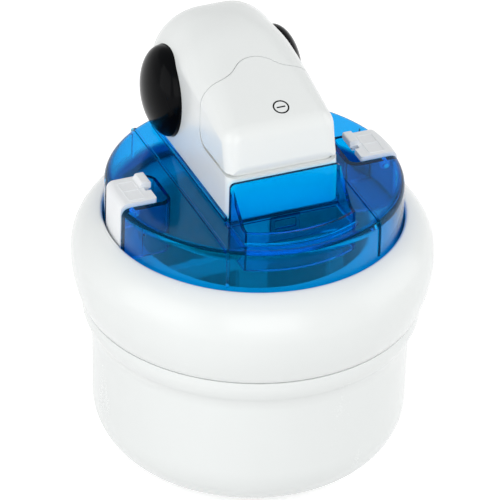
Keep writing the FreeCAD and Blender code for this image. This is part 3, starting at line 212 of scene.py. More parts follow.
def rounded(*corners):
    """Points of an outline through corners (across, up, bend), each bend an arc of that radius."""
    points = []
    for place, (across, up, bend) in enumerate(corners):
        corner = Vector((across, up))
        if not bend:
            points.append(corner)
            continue
        back = (Vector(corners[place - 1][:2]) - corner).normalized()
        ahead = (Vector(corners[(place + 1) % len(corners)][:2]) - corner).normalized()
        half = back.angle(ahead) / 2
        centre = corner + (back + ahead).normalized() * bend / math.sin(half)
        first = corner + back * bend / math.tan(half) - centre
        last = corner + ahead * bend / math.tan(half) - centre
        turn = math.pi - 2 * half
        steps = max(ARC_LEAST, math.ceil(turn / ARC_STEP))
        for step in range(steps + 1):
            share = step / steps
            weights = math.sin((1 - share) * turn), math.sin(share * turn)
            points.append(centre + (first * weights[0] + last * weights[1]) / math.sin(turn))
    return points


def piece_tree(name, build, **kinds):
    """Geometry nodes with an input of each kind and a finish, which end in one painted mesh."""
    tree = bpy.data.node_groups.new(name, "GeometryNodeTree")
    kinds["Finish"] = "Material"
    for label, kind in kinds.items():
        tree.interface.new_socket(label, in_out="INPUT", socket_type=f"NodeSocket{kind}")
    tree.interface.new_socket("Piece", in_out="OUTPUT", socket_type="NodeSocketGeometry")
    nodes = Nodes(tree)
    given = {label: nodes.add("NodeGroupInput", {}, {}, label) for label in kinds}
    realized = nodes.add("GeometryNodeRealizeInstances", {}, {"Geometry": build(nodes, given)})
    painted = nodes.add("GeometryNodeSetMaterial", {}, {
        "Geometry": realized,
        "Material": given["Finish"],
    })
    nodes.feed(tree.nodes.new("NodeGroupOutput").inputs["Piece"], painted)
    return tree


def sweep(nodes, given):
    """A profile swept round the upright axis, with its seam and poles welded."""
    circle = nodes.add("GeometryNodeCurvePrimitiveCircle", {}, {
        "Radius": given["Core"],
        "Resolution": given["Segments"],
    })
    swept = nodes.add("GeometryNodeCurveToMesh", {}, {
        "Curve": circle,
        "Profile Curve": given["Profile"],
    })
    return nodes.add("GeometryNodeMergeByDistance", {}, {"Geometry": swept, "Distance": WELD})


def made_by(tree, carrier, **inputs):
    """The plain mesh that a tree makes of an object, whose modifier then goes with the object."""
    bpy.context.scene.collection.objects.link(carrier)
    modifier = carrier.modifiers.new("made", "NODES")
    modifier.node_group = tree
    for item in tree.interface.items_tree:
        if item.name in inputs:
            modifier[item.identifier] = inputs[item.name]
    seen = carrier.evaluated_get(bpy.context.evaluated_depsgraph_get())
    mesh = bpy.data.meshes.new_from_object(seen)
    bpy.data.objects.remove(carrier)
    return mesh


def mesh_of(shape, name, *materials):
    """The plain mesh of a shape, which is then let go."""
    mesh = bpy.data.meshes.new(name)
    shape.to_mesh(mesh)
    shape.free()
    for material in materials:
        mesh.materials.append(material)
    return mesh


def carried(name, mesh, node):
    """A smoothly shaded piece that rides on the body of a CAD node."""
    mesh.shade_smooth()
    mesh.set_sharp_from_angle(angle=SHARP_ANGLE)
    piece = bpy.data.objects.new(name, mesh)
    bpy.context.scene.collection.objects.link(piece)
    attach(piece, BODY_OF[node])
    return piece


def settle(name, mesh, node):
    """A carried piece that stands for its CAD node, which is hidden."""
    piece = carried(name, mesh, node)
    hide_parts(node)
    return piece


def cut_by(tool, mesh):
    """A mesh less what a tool's mesh takes away."""
    whole, cutter = [bpy.data.objects.new(part.name, part) for part in (mesh, tool)]
    for each in (whole, cutter):
        bpy.context.scene.collection.objects.link(each)
    cut = whole.modifiers.new("cut", "BOOLEAN")
    cut.object = cutter
    seen = whole.evaluated_get(bpy.context.evaluated_depsgraph_get())
    result = bpy.data.meshes.new_from_object(seen)
    for each in (whole, cutter):
        bpy.data.objects.remove(each)
    return result


def turned(name, profile, material, node, closed, trim=None):
    """A piece turned from its profile of (radius, height) points."""
    curve = bpy.data.curves.new(name, "CURVE")
    curve.dimensions = "3D"
    spline = curve.splines.new("POLY")
    spline.points.add(len(profile) - 1)
    spline.use_cyclic_u = closed
    for point, (radius, height) in zip(spline.points, profile):
        point.co = (radius - TURNED_CORE, -height, 0, 1)
    carrier = bpy.data.objects.new(name + "_profile", curve)
    sizes = {"Core": TURNED_CORE, "Segments": TURNED_SEGMENTS}
    mesh = made_by(TURNING, carrier, Finish=material, **sizes)
    shape = bmesh.new()
    shape.from_mesh(mesh)
    bmesh.ops.recalc_face_normals(shape, faces=shape.faces)
    shape.to_mesh(mesh)
    shape.free()
    settle(name, trim(mesh) if trim else mesh, node)


def foot_seats():
    """Four short rods that cut the feet's seats into the tub's floor."""
    shape = bmesh.new()
    rod = {"segments": FOOT_SEAT_SEGMENTS, "radius1": FOOT_SEAT, "radius2": FOOT_SEAT}
    for along, across, _ in foot_places:
        middle = Matrix.Translation((along, across, FOOT_SEAT_TOP / 2))
        bmesh.ops.create_cone(shape, matrix=middle, cap_ends=True, depth=FOOT_SEAT_TOP, **rod)
    return mesh_of(shape, "foot_seats")


TURNING = piece_tree("turned_piece", sweep, Profile="Geometry", Core="Float", Segments="Int")
foot_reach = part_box("rubber_feet")[1][0] - FOOT_RADIUS
foot_sides = [(1, 1), (-1, 1), (-1, -1), (1, -1)]
foot_places = [(along * foot_reach, across * foot_reach, 0) for along, across in foot_sides]
white_shell = moulded("glossy_white", WHITE, dull=0.24, grain=0.000006, coat=0.15)
tub_profile = rounded(
    (0, TUB_FLOOR, 0),
    (TUB_RADIUS, TUB_FLOOR, TUB_ROUND),
    (TUB_RADIUS + TUB_FLARE, SHOULDER_LOW, SHOULDER_ROUND),
    (SEAM_RADIUS, SHOULDER_HIGH, SHOULDER_ROUND),
    (SEAM_RADIUS, SEAM_HEIGHT, MOULD_EDGE),
    (SPIGOT_RADIUS, SEAM_HEIGHT, 0),
    (SPIGOT_RADIUS, SPIGOT_TOP, MOULD_EDGE),
    (SPIGOT_INNER, SPIGOT_TOP, MOULD_EDGE),
    (SPIGOT_INNER, SHOULDER_HIGH, SHOULDER_ROUND - SHELL_WALL),
    (TUB_RADIUS + TUB_FLARE - SHELL_WALL, SHOULDER_LOW, SHOULDER_ROUND - SHELL_WALL),
    (TUB_RADIUS - SHELL_WALL, TUB_FLOOR + SHELL_WALL, TUB_ROUND - SHELL_WALL),
    (SEAT_OUTER, TUB_FLOOR + SHELL_WALL, 0),
    (SEAT_OUTER, SEAT_TOP, MOULD_EDGE),
    (SEAT_INNER, SEAT_TOP, MOULD_EDGE),
    (SEAT_INNER, TUB_FLOOR + SHELL_WALL, 0),
    (0, TUB_FLOOR + SHELL_WALL, 0),
)
seats_cut = partial(cut_by, foot_seats())
turned("tub", tub_profile, white_shell, "lower_body", closed=False, trim=seats_cut)

# Ring above the seam, moulded in the same white plastic and pushed onto the tub's spigot.
# It bulges out to the machine's widest place and rolls over to the lip of the round opening.
# A shadow gap stays between it and the tub.
SEAM_GAP = 0.0008
FIT = 0.0001
BULGE_RADIUS = 0.1062
BULGE_HEIGHT = 0.132
BULGE_LOW_ARC = 0.071
BULGE_TOP_ARC = 0.0275
OPENING_RADIUS = 0.088
OPENING_DROP = 0.151
LIP_WALL = 0.002
LIP_ROUND = 0.0015
LIP_EASE = 0.98


def bow(arc, radius, first, last):
    """Points of the bulge between two angles, about the middle of one of its two arcs."""
    steps = max(ARC_LEAST, math.ceil(abs(last - first) / ARC_STEP))
    angles = [first + (last - first) * step / steps for step in range(steps + 1)]
    middle = BULGE_RADIUS - arc
    turns = [(math.cos(angle), math.sin(angle)) for angle in angles]
    return [Vector((middle + radius * x, BULGE_HEIGHT + radius * y)) for x, y in turns]


def low_angle(radius, height):
    """Angle at which the bulge's lower arc reaches a height."""
    return math.asin((height - BULGE_HEIGHT) / radius)


def top_angle(radius, across):
    """Angle at which the bulge's upper arc reaches a distance from the axis."""
    return math.acos((across - BULGE_RADIUS + BULGE_TOP_ARC) / radius)


ring_low = SEAM_HEIGHT + SEAM_GAP
inner_low_arc = BULGE_LOW_ARC - SHELL_WALL
inner_top_arc = BULGE_TOP_ARC - SHELL_WALL
lip_edge = OPENING_RADIUS + LIP_ROUND
low_start = low_angle(BULGE_LOW_ARC, ring_low + MOULD_EDGE)
outside = bow(BULGE_LOW_ARC, BULGE_LOW_ARC, low_start, 0)
outside += bow(BULGE_TOP_ARC, BULGE_TOP_ARC, 0, top_angle(BULGE_TOP_ARC, lip_edge))[1:]
lip_top = outside[-1].y
lip = rounded(
    (lip_edge, lip_top, 0),
    (OPENING_RADIUS, lip_top, LIP_ROUND * LIP_EASE),
    (OPENING_RADIUS, OPENING_DROP, MOULD_EDGE),
    (OPENING_RADIUS + LIP_WALL, OPENING_DROP, 0),
)[1:]
top_start = top_angle(inner_top_arc, OPENING_RADIUS + LIP_WALL)
inside = bow(BULGE_TOP_ARC, inner_top_arc, top_start, 0)
inside += bow(BULGE_LOW_ARC, inner_low_arc, 0, low_angle(inner_low_arc, SPIGOT_TOP + FIT))[1:]
sleeve = [
    Vector((SPIGOT_RADIUS + FIT, SPIGOT_TOP + FIT)),
    Vector((SPIGOT_RADIUS + FIT, ring_low)),
    Vector((outside[0].x - MOULD_EDGE, ring_low)),
]
turned("ring", outside + lip + inside + sleeve, white_shell, "upper_ring", closed=True)

# Four rubber feet, pressed into round seats under the tub.
# Each is a dark disc with a rounded lower edge and a shallow hollow that grips the table.
FOOT_HIGH = 0.003
FOOT_ROUND = 0.0009
FOOT_HOLLOW = 0.0005
FOOT_RIM = 0.0022
FOOT_SEGMENTS = 48
RUBBER = (0.03, 0.03, 0.032)


def set_out(nodes, given):
    """One piece set at every point of a mesh."""
    single = nodes.add("GeometryNodeObjectInfo", {}, {"Object": given["Single"]}, "Geometry")
    return nodes.add("GeometryNodeInstanceOnPoints", {}, {
        "Points": given["Places"],
        "Instance": single,
    })


def spun(profile, segments):
    """A small shape round the upright axis, ring by ring from its (radius, height) points."""
    shape = bmesh.new()
    angles = [math.tau * step / segments for step in range(segments)]
    turns = [(math.cos(angle), math.sin(angle)) for angle in angles]
    rings = []
    for radius, height in profile:
        spots = turns if radius else [(0, 0)]
        rings.append([shape.verts.new((radius * x, radius * y, height)) for x, y in spots])
    for low, high in zip(rings, rings[1:]):
        for step in range(segments):
            lower = [low[place % len(low)] for place in (step, step + 1)]
            upper = [high[place % len(high)] for place in (step + 1, step)]
            without_doubles = dict.fromkeys(lower + upper)
            shape.faces.new(list(without_doubles))
    bmesh.ops.recalc_face_normals(shape, faces=shape.faces)
    return shape


def repeated(name, shape, places, material, node):
    """One piece set at several places, as a single mesh."""
    single = bpy.data.objects.new(name + "_single", mesh_of(shape, name + "_single"))
    bpy.context.scene.collection.objects.link(single)
    points = bpy.data.meshes.new(name + "_places")
    points.from_pydata(places, [], [])
    carrier = bpy.data.objects.new(name + "_places", points)
    mesh = made_by(REPEATING, carrier, Single=single, Finish=material)
    bpy.data.objects.remove(single)
    settle(name, mesh, node)


REPEATING = piece_tree("repeated_piece", set_out, Places="Geometry", Single="Object")
foot_rubber = moulded("dark_rubber", RUBBER, dull=0.62, grain=0.00003, mottle=0.25)
foot_profile = rounded(
    (0, FOOT_HOLLOW, 0),
    (FOOT_RADIUS - FOOT_RIM - FOOT_HOLLOW, FOOT_HOLLOW, 0),
    (FOOT_RADIUS - FOOT_RIM, 0, 0),
    (FOOT_RADIUS, 0, FOOT_ROUND),
    (FOOT_RADIUS, FOOT_HIGH, 0),
    (0, FOOT_HIGH, 0),
)
foot = spun(foot_profile, FOOT_SEGMENTS)
repeated("feet", foot, foot_places, foot_rubber, "rubber_feet")

# Freezer bowl: a spun aluminium liner in a blow-moulded jacket, with gel sealed between them.
# The liner keeps the rings of the spinning lathe, and a moulded rim closes the gap at the top.
# It stands loose on the tub's rib and lifts out to be frozen.
LINER_TOP_RADIUS = 0.068
LINER_LOW_RADIUS = 0.064
LINER_ROUND = 0.014
LINER_WALL = 0.0015
LINER_FLOOR = 0.026
JACKET_TOP_RADIUS = 0.084
JACKET_LOW_RADIUS = 0.074
JACKET_ROUND = 0.018
JACKET_WALL = 0.002
RIM_LOW = 0.143
RIM_TOP = 0.148
RIM_RADIUS = 0.086
RIM_SKIRT = 0.137
ALUMINIUM = (0.80, 0.81, 0.82)
LATHE_PITCH = 0.0007
STREAK_PATCH = 0.0012
STREAK_DETAIL = 3.0
STREAK_DRAWN_OUT = (0.08, 1.0, 1.0)
MARK_SHADE = 0.86
MARK_DULL = 0.16
MARK_DEEP = 0.000004
BOWL_WHITE = (0.80, 0.83, 0.85)
GEL_PATCH = 0.02
GEL_DEEP = (0.16, 0.38, 0.62)
GEL_PALE = (0.24, 0.48, 0.72)
GEL_DULL = 0.3
GEL_CLOUDY = 0.2
SOFT_STEPS = 2


def lathe_rings(finish, pitch):
    """Noise from 0 to 1 that changes only with the distance from the axis and the height."""
    place = finish.add("ShaderNodeTexCoord", {}, {}, "Object")
    height = finish.add("ShaderNodeSeparateXYZ", {}, {"Vector": place}, "Z")
    level = finish.add("ShaderNodeMapping", {}, {"Vector": place, "Scale": (1.0, 1.0, 0.0)})
    across = finish.add("ShaderNodeVectorMath", {"operation": "LENGTH"}, {0: level}, "Value")
    along = (height + across) * (1 / pitch)
    return finish.add("ShaderNodeTexNoise", {"noise_dimensions": "1D"}, {"W": along, "Scale": 1.0})


def metal(name, colour, dull, rings=None):
    """Bare metal with either lathe rings or the fine streaks of rolled sheet in its gloss."""
    finish = Finish(name, {"Metallic": 1.0})
    if rings:
        marks = lathe_rings(finish, rings)
    else:
        marks = finish.noise(STREAK_PATCH, STREAK_DETAIL, STREAK_DRAWN_OUT)
    dulled = [channel * MARK_SHADE for channel in colour]
    finish.set({
        "Base Color": finish.tone(marks, dulled, colour),
        "Roughness": dull + MARK_DULL * marks,
        "Normal": finish.relief(marks, MARK_DEEP),
    })
    return finish.material


def dress(node, material, soften=0.0, trim=None):
    """A welded copy of a CAD node, smooth and with softened edges, which stands for that node."""
    shape = bmesh.new()
    shape.from_mesh(frame["nodes"][node].data)
    bmesh.ops.remove_doubles(shape, verts=shape.verts, dist=WELD)
    bmesh.ops.recalc_face_normals(shape, faces=shape.faces)
    shape.verts.index_update()
    mesh = bpy.data.meshes.new("finished_" + node)
    faces = [[vertex.index for vertex in face.verts] for face in shape.faces]
    mesh.from_pydata([vertex.co for vertex in shape.verts], [], faces)
    shape.free()
    mesh.materials.append(material)
    piece = settle("finished_" + node, trim(mesh) if trim else mesh, node)
    if soften:
        bevel = piece.modifiers.new("soft_edges", "BEVEL")
        bevel.width = soften
        bevel.segments = SOFT_STEPS
        bevel.limit_method = "ANGLE"
        bevel.angle_limit = SHARP_ANGLE
        bevel.harden_normals = True
    return piece


liner_metal = metal("spun_aluminium", ALUMINIUM, dull=0.50, rings=LATHE_PITCH)
bowl_plastic = moulded("bowl_white", BOWL_WHITE, dull=0.38, grain=0.00001)
coolant = Finish("freezing_gel", {"Roughness": GEL_DULL, "Subsurface Weight": GEL_CLOUDY})
coolant.set({"Base Color": coolant.tone(coolant.noise(GEL_PATCH), GEL_DEEP, GEL_PALE)})
liner_profile = rounded(
    (0, LINER_FLOOR - LINER_WALL, 0),
    (LINER_LOW_RADIUS + LINER_WALL, LINER_FLOOR - LINER_WALL, LINER_ROUND + LINER_WALL),
    (LINER_TOP_RADIUS + LINER_WALL, RIM_LOW, 0),
    (LINER_TOP_RADIUS, RIM_LOW, 0),
    (LINER_LOW_RADIUS, LINER_FLOOR, LINER_ROUND),
    (0, LINER_FLOOR, 0),
)
jacket_profile = rounded(
    (0, SEAT_TOP, 0),
    (JACKET_LOW_RADIUS, SEAT_TOP, JACKET_ROUND),
    (JACKET_TOP_RADIUS, RIM_LOW, 0),
    (JACKET_TOP_RADIUS - JACKET_WALL, RIM_LOW, 0),
    (JACKET_LOW_RADIUS - JACKET_WALL, SEAT_TOP + JACKET_WALL, JACKET_ROUND - JACKET_WALL),
    (0, SEAT_TOP + JACKET_WALL, 0),
)
rim_profile = rounded(
    (LINER_TOP_RADIUS, RIM_LOW, 0),
    (LINER_TOP_RADIUS, RIM_TOP, LIP_ROUND),
    (RIM_RADIUS, RIM_TOP, LIP_ROUND),
    (RIM_RADIUS, RIM_SKIRT, MOULD_EDGE),
    (JACKET_TOP_RADIUS + FIT, RIM_SKIRT, MOULD_EDGE),
    (JACKET_TOP_RADIUS + FIT, RIM_LOW, 0),
)
turned("bowl_inside", liner_profile, liner_metal, "bowl_liner", closed=False)
turned("bowl_outside", jacket_profile, bowl_plastic, "bowl_jacket", closed=False)
turned("bowl_edge", rim_profile, bowl_plastic, "bowl_rim", closed=True)
dress("coolant_fill", coolant.material)

# Paddle that stirs the mix, moulded in one piece of food-safe white plastic.
# A flat frame with two windows hangs on a hub, whose square socket takes the drive shaft.
PADDLE_WHITE = (0.78, 0.79, 0.78)
PADDLE_EDGE = 0.0006
paddle_plastic = moulded("food_white", PADDLE_WHITE, dull=0.36, grain=0.00001)
dress("mixing_paddle", paddle_plastic, soften=PADDLE_EDGE)

# Lid and filler chute, injection moulded in clear blue plastic that looks deepest along its edges.
# The lid drops over the bowl, with two ribs, a rim round the motor unit and a notch for each latch.
# The chute is pushed up through the lid and held by a ledge below it.
CLEAR_BLUE = (0.0, 0.84, 0.97, 1.0)
CLEAR_SHINE = (0.0, 0.55, 1.0, 1.0)
CLEAR_SHADOW = (0.0, 0.91, 0.98, 1.0)
CLEAR_TINT = (0.0, 0.953, 0.995, 1.0)
CLEAR_ABSORBS = 2650
CLEAR_BENDS = 1.36
CLEAR_SHARE = 0.985
CLEAR_DULL = 0.06
CLEAR_DULL_CHANGE = 0.04
CLEAR_DULL_PATCH = 0.03
CLEAR_WAVE_PATCH = 0.012
CLEAR_WAVE_DEEP = 0.000012
clear_blue = Finish("tinted_clear", {
    "Base Color": CLEAR_BLUE,
    "Transmission Weight": CLEAR_SHARE,
    "IOR": CLEAR_BENDS,
    "Specular Tint": CLEAR_SHINE,
})
clear_blue.set({
    "Roughness": CLEAR_DULL + CLEAR_DULL_CHANGE * clear_blue.noise(CLEAR_DULL_PATCH),
    "Normal": clear_blue.relief(clear_blue.noise(CLEAR_WAVE_PATCH), CLEAR_WAVE_DEEP),
})
bends = Wire(clear_blue, clear_blue.shader.outputs["BSDF"])
passes = clear_blue.add("ShaderNodeBsdfTransparent", {}, {"Color": CLEAR_SHADOW})
lamp_ray = clear_blue.add("ShaderNodeLightPath", {}, {}, "Is Shadow Ray")
lets_light_in = clear_blue.add("ShaderNodeMixShader", {}, {0: lamp_ray, 1: bends, 2: passes})
tint = clear_blue.add("ShaderNodeVolumeAbsorption", {}, {
    "Color": CLEAR_TINT,
    "Density": CLEAR_ABSORBS,
})
clear_out = clear_blue.tree.nodes["Material Output"].inputs
clear_blue.feed(clear_out["Surface"], lets_light_in)
clear_blue.feed(clear_out["Volume"], tint)
dress("lid_shell", clear_blue.material)
dress("filler_chute", clear_blue.material)

# Latches that hook the lid to the bowl, moulded in satin white plastic.
# Each rocks on two pins in its notch and has a finger tab at its inner back corner, beside a gap.
# Low lines on the plate's top mark where a thumb presses.
LATCH_INNER = 0.064
LATCH_TOP = 0.1836
LATCH_EDGE = 0.0005
LATCH_WHITE = (0.88, 0.90, 0.92)
GAP_FRONT = 0.002
GAP_BACK = 0.0058
GAP_DEEP = 0.0032
GAP_TALL = 0.008
LINE_WIDE = 0.0007
LINE_PROUD = 0.0003
THUMB_ACROSS = (0.0705, 0.0800)
THUMB_ALONG = (-0.0050, 0.0052, 0.0145)


def boxes(name, corners, *materials):
    """A mesh of boxes, each between two corners."""
    shape = bmesh.new()
    for low, high in corners:
        low, high = Vector(low), Vector(high)
        place = Matrix.LocRotScale((low + high) / 2, None, [abs(span) for span in high - low])
        bmesh.ops.create_cube(shape, size=1.0, matrix=place)
    return mesh_of(shape, name, *materials)


def latch(node, side, material):
    """A latch on one side of the machine, with the gap beside its finger tab and thumb lines."""
    gap_low = (side * (LATCH_INNER - GAP_DEEP), GAP_FRONT, LATCH_TOP - GAP_TALL)
    gap_high = (side * (LATCH_INNER + GAP_DEEP), GAP_BACK, LATCH_TOP + GAP_TALL)
    gap = boxes(node + "_gap", [(gap_low, gap_high)])
    dress(node, material, soften=LATCH_EDGE, trim=partial(cut_by, gap))
    half = LINE_WIDE / 2
    low, high = LATCH_TOP - LINE_PROUD, LATCH_TOP + LINE_PROUD
    near, far = [side * across for across in THUMB_ACROSS]
    lines = [((near, along - half, low), (far, along + half, high)) for along in THUMB_ALONG]
    for across in (near, far):
        for first, last in zip(THUMB_ALONG, THUMB_ALONG[1:]):
            lines.append(((across - half, first + half, low), (across + half, last - half, high)))
    mesh = boxes(node + "_lines", lines, material)
    carried(node + "_lines", mesh, node)


white_clip = moulded("satin_white", LATCH_WHITE, dull=0.34, grain=0.00001)
latch("left_latch", -1, white_clip)
latch("right_latch", 1, white_clip)

# Floor of the motor unit, a moulded plate screwed up into the housing.
# It carries the shaft's sintered bush, the stand of the switch and the posts of the gearbox plate.
# A rubber gland lines the round hole in the housing's back.
BLACK = (0.0016, 0.0019, 0.0026)
BRONZE = (0.72, 0.48, 0.26)
BUSH_PITCH = 0.0006
SWITCH_EDGE = 0.0004
BUSH_EDGE = 0.0002
GLAND_EDGE = 0.0003
black_gloss = moulded("polished_black", BLACK, dull=0.14, grain=0.000002, mottle=0.1, shine=0.06)
bronze = metal("sintered_bronze", BRONZE, dull=0.34, rings=BUSH_PITCH)
dress("motor_base_plate", white_clip)
dress("power_switch", black_gloss, soften=SWITCH_EDGE)
dress("shaft_bush", bronze, soften=BUSH_EDGE)
dress("cord_gland", foot_rubber, soften=GLAND_EDGE)

# Four steel screws that hold the floor to the housing, driven up from below.
# Each has a flat head with a cross recess, and the same screw is used in all four places.
SCREW_HEAD = 0.003
SCREW_HEAD_HIGH = 0.0014
SCREW_RADIUS = 0.00145
SCREW_LONG = 0.0105
SCREW_TIP = 0.0004
SCREW_SEGMENTS = 40
STEEL = (0.60, 0.61, 0.62)
SCREW_FRONT = (0.0275, -0.034)
SCREW_BACK = (0.012, 0.0725)
CROSS_HALF = 0.0016
CROSS_BAR = 0.0004
CROSS_DEEP = 0.0008


def cross_screw():
    """A screw standing on its flat head, with a cross recess in the head's lower face."""
    profile = rounded(
        (SCREW_HEAD, 0, 0),
        (SCREW_HEAD, SCREW_HEAD_HIGH, 0),
        (SCREW_RADIUS, SCREW_HEAD_HIGH, 0),
        (SCREW_RADIUS, SCREW_LONG, SCREW_TIP),
        (0, SCREW_LONG, 0),
    )
    shape = spun(profile, SCREW_SEGMENTS)
    head_edge = [edge for edge in shape.edges if edge.is_boundary]
    arm = [(CROSS_HALF, -CROSS_BAR), (CROSS_HALF, CROSS_BAR), (CROSS_BAR, CROSS_BAR)]
    turns = [(1, 0), (0, 1), (-1, 0), (0, -1)]
    plan = [(x * c - y * s, x * s + y * c) for c, s in turns for x, y in arm]
    mouth = [shape.verts.new((x, y, 0)) for x, y in plan]
    bottom = [shape.verts.new((x, y, CROSS_DEEP)) for x, y in plan]
    sides = [shape.edges.new((mouth[place - 1], mouth[place])) for place in range(len(mouth))]
    bmesh.ops.triangle_fill(shape, edges=head_edge + sides, use_dissolve=False)
    for place in range(len(mouth)):
        shape.faces.new((mouth[place - 1], mouth[place], bottom[place], bottom[place - 1]))
    shape.faces.new(bottom)
    bmesh.ops.recalc_face_normals(shape, faces=shape.faces)
    return shape


steel = metal("rolled_steel", STEEL, dull=0.26)
screw_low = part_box("base_screws")[0][2]
screw_pair = (SCREW_FRONT, SCREW_BACK)
screw_places = [(side * x, y, screw_low) for side in (1, -1) for x, y in screw_pair]
repeated("screws", cross_screw(), screw_places, steel, "base_screws")

# Gear train and motor under the housing.
# The motor's steel pinion turns a moulded double wheel on its axle, which turns the output wheel.
# The output wheel is pressed on the steel shaft, whose square lower end turns the paddle.
GEAR_CREAM = (0.70, 0.68, 0.60)
MOTOR_GREY = (0.52, 0.53, 0.54)
SHAFT_EDGE = 0.0003
MOTOR_EDGE = 0.0003
gear_plastic = moulded("cream_plastic", GEAR_CREAM, dull=0.42, grain=0.00001, mottle=0.06)
motor_can = metal("plated_steel", MOTOR_GREY, dull=0.3)
dress("output_gear", gear_plastic)
dress("compound_gear", gear_plastic)
dress("motor_pinion", steel)
dress("drive_shaft", steel, soften=SHAFT_EDGE)
dress("compound_axle", steel, soften=SHAFT_EDGE)
dress("gearbox_plate", steel)
dress("drive_motor", motor_can, soften=MOTOR_EDGE)

# Housing of the motor unit, one glossy white moulding whose domed top slopes down to the front.
# It is open below, has an oval opening in each side and a bell-shaped seam round the nose button.
dress("motor_housing", white_shell)

# Nose button, the large sloping front of the motor unit, moulded like the housing.
# It hinges on its tongue behind the front, and strips beside the tongue close the seam's corners.
# A generic on/off sign is printed on its slope.
SKIRT_X = 0.027
SKIRT_Y = -0.035
SKIRT_ROUND = 0.0045
SKIRT_WALL = 0.0008
SKIRT_REACH = 0.012
SKIRT_LOW = 0.2063
SKIRT_TOP = 0.2150
SKIRT_STEPS = 8
SIGN_PLACE = (0.0042, -0.0252)
SIGN_RADIUS = 0.0044
SIGN_LINE = 0.0009
SIGN_DASH = 0.0052
SIGN_FILM = 0.00006
RING_STEPS = 72
DASH_STEPS = 8
INK = (0.002, 0.0025, 0.0035)


def corner_plan(side):
    """Plan of the strip behind a lower corner of the button, in pairs of outer and inner points."""
    bend = []
    for step in range(SKIRT_STEPS + 1):
        angle = math.pi / 2 * step / SKIRT_STEPS
        for radius in (SKIRT_ROUND, SKIRT_ROUND - SKIRT_WALL):
            across = side * (SKIRT_X + radius * math.sin(angle))
            bend.append((across, SKIRT_Y - radius * math.cos(angle)))
    start = [(x - side * SKIRT_WALL, y) for x, y in bend[:2]]
    end = [(x, y + SKIRT_REACH) for x, y in bend[-2:]]
    return start + bend + end


def corner_strips():
    """The upright strips behind both lower corners, each raised from its plan."""
    shape = bmesh.new()
    for side in (-1, 1):
        plan = corner_plan(side)
        levels = [[shape.verts.new((x, y, z)) for x, y in plan] for z in (SKIRT_LOW, SKIRT_TOP)]
        low, high = levels
        for place in range(0, len(plan) - 2, 2):
            outer, inner, next_outer, next_inner = range(place, place + 4)
            for first, second in ((outer, next_outer), (next_inner, inner)):
                shape.faces.new((low[first], low[second], high[second], high[first]))
            for level in levels:
                shape.faces.new([level[spot] for spot in (outer, next_outer, next_inner, inner)])
        for place in (0, len(plan) - 2):
            shape.faces.new((low[place], low[place + 1], high[place + 1], high[place]))
    bmesh.ops.recalc_face_normals(shape, faces=shape.faces)
    return mesh_of(shape, "nose_skirt", white_shell)


def outer_face(piece):
    """The faces of a piece, to find where a line meets them."""
    shape = bmesh.new()
    shape.from_mesh(piece.data)
    faces = BVHTree.FromBMesh(shape)
    shape.free()
    return faces


def printed(name, first_line, second_line, loop):
    """A thin closed film of ink on the button, between two lines of points in the sign's plane."""
    shape = bmesh.new()

    def on_button(across, along, lift):
        start = sign_middle + sign_right * across + sign_ahead * along + sign_out * SIGN_RADIUS
        hit, normal, _, _ = slope.ray_cast(start, -sign_out)
        return shape.verts.new(hit + normal * lift)

    edges = [(first_line, -1), (first_line, 1), (second_line, 1), (second_line, -1)]
    rows = [[on_button(x, y, lift * SIGN_FILM) for x, y in line] for line, lift in edges]
    count = len(first_line)
    for place in range(count if loop else count - 1):
        after = (place + 1) % count
        for row, first in enumerate(rows):
            second = rows[(row + 1) % len(rows)]
            shape.faces.new((first[place], first[after], second[after], second[place]))
    if not loop:
        shape.faces.new([row[0] for row in rows])
        shape.faces.new([row[-1] for row in rows])
    bmesh.ops.recalc_face_normals(shape, faces=shape.faces)
    carried(name, mesh_of(shape, name, ink), "nose_button")


def ring_line(radius):
    """Points of a circle in the sign's plane."""
    angles = [math.tau * step / RING_STEPS for step in range(RING_STEPS)]
    return [(radius * math.cos(angle), radius * math.sin(angle)) for angle in angles]


def dash_line(side):
    """Points along one side of the sign's dash."""
    shares = [step / DASH_STEPS - 0.5 for step in range(DASH_STEPS + 1)]
    return [(SIGN_DASH * share, side * SIGN_LINE / 2) for share in shares]


strips = carried("nose_skirt", corner_strips(), "nose_button")
slope = outer_face(dress("nose_button", white_shell))
ink = moulded("sign_ink", INK, dull=0.45, grain=0.000004, shine=0.1)
over_sign = Vector((*SIGN_PLACE, CAD_BOX[1][2] + SIGN_RADIUS))
sign_middle, sign_out, _, _ = slope.ray_cast(over_sign, Vector((0, 0, -1)))
sign_right = (Vector((1, 0, 0)) - sign_out * sign_out.x).normalized()
sign_ahead = sign_out.cross(sign_right)
inner_ring = ring_line(SIGN_RADIUS - SIGN_LINE / 2)
outer_ring = ring_line(SIGN_RADIUS + SIGN_LINE / 2)
printed("sign_ring", inner_ring, outer_ring, loop=True)
printed("sign_dash", dash_line(-1), dash_line(1), loop=False)

# Release buttons, two domed ovals moulded in polished black plastic.
# Each fills the opening in its side of the housing, and lets the motor unit off when pressed in.
dress("left_release_button", black_gloss)
dress("right_release_button", black_gloss)

# Studio floor, a wide white sheet that keeps the machine's soft shadow.
# The camera, mirroring pieces and clear plastic see its glow, which lights nothing else.
FLOOR_HALF = 6.0
FLOOR_GREY = (0.7, 0.7, 0.7, 1.0)
FLOOR_DULL = 0.9
FLOOR_GLOW = 0.60
PURE_WHITE = (1.0, 1.0, 1.0, 1.0)
PURE_BLACK = (0.0, 0.0, 0.0, 1.0)


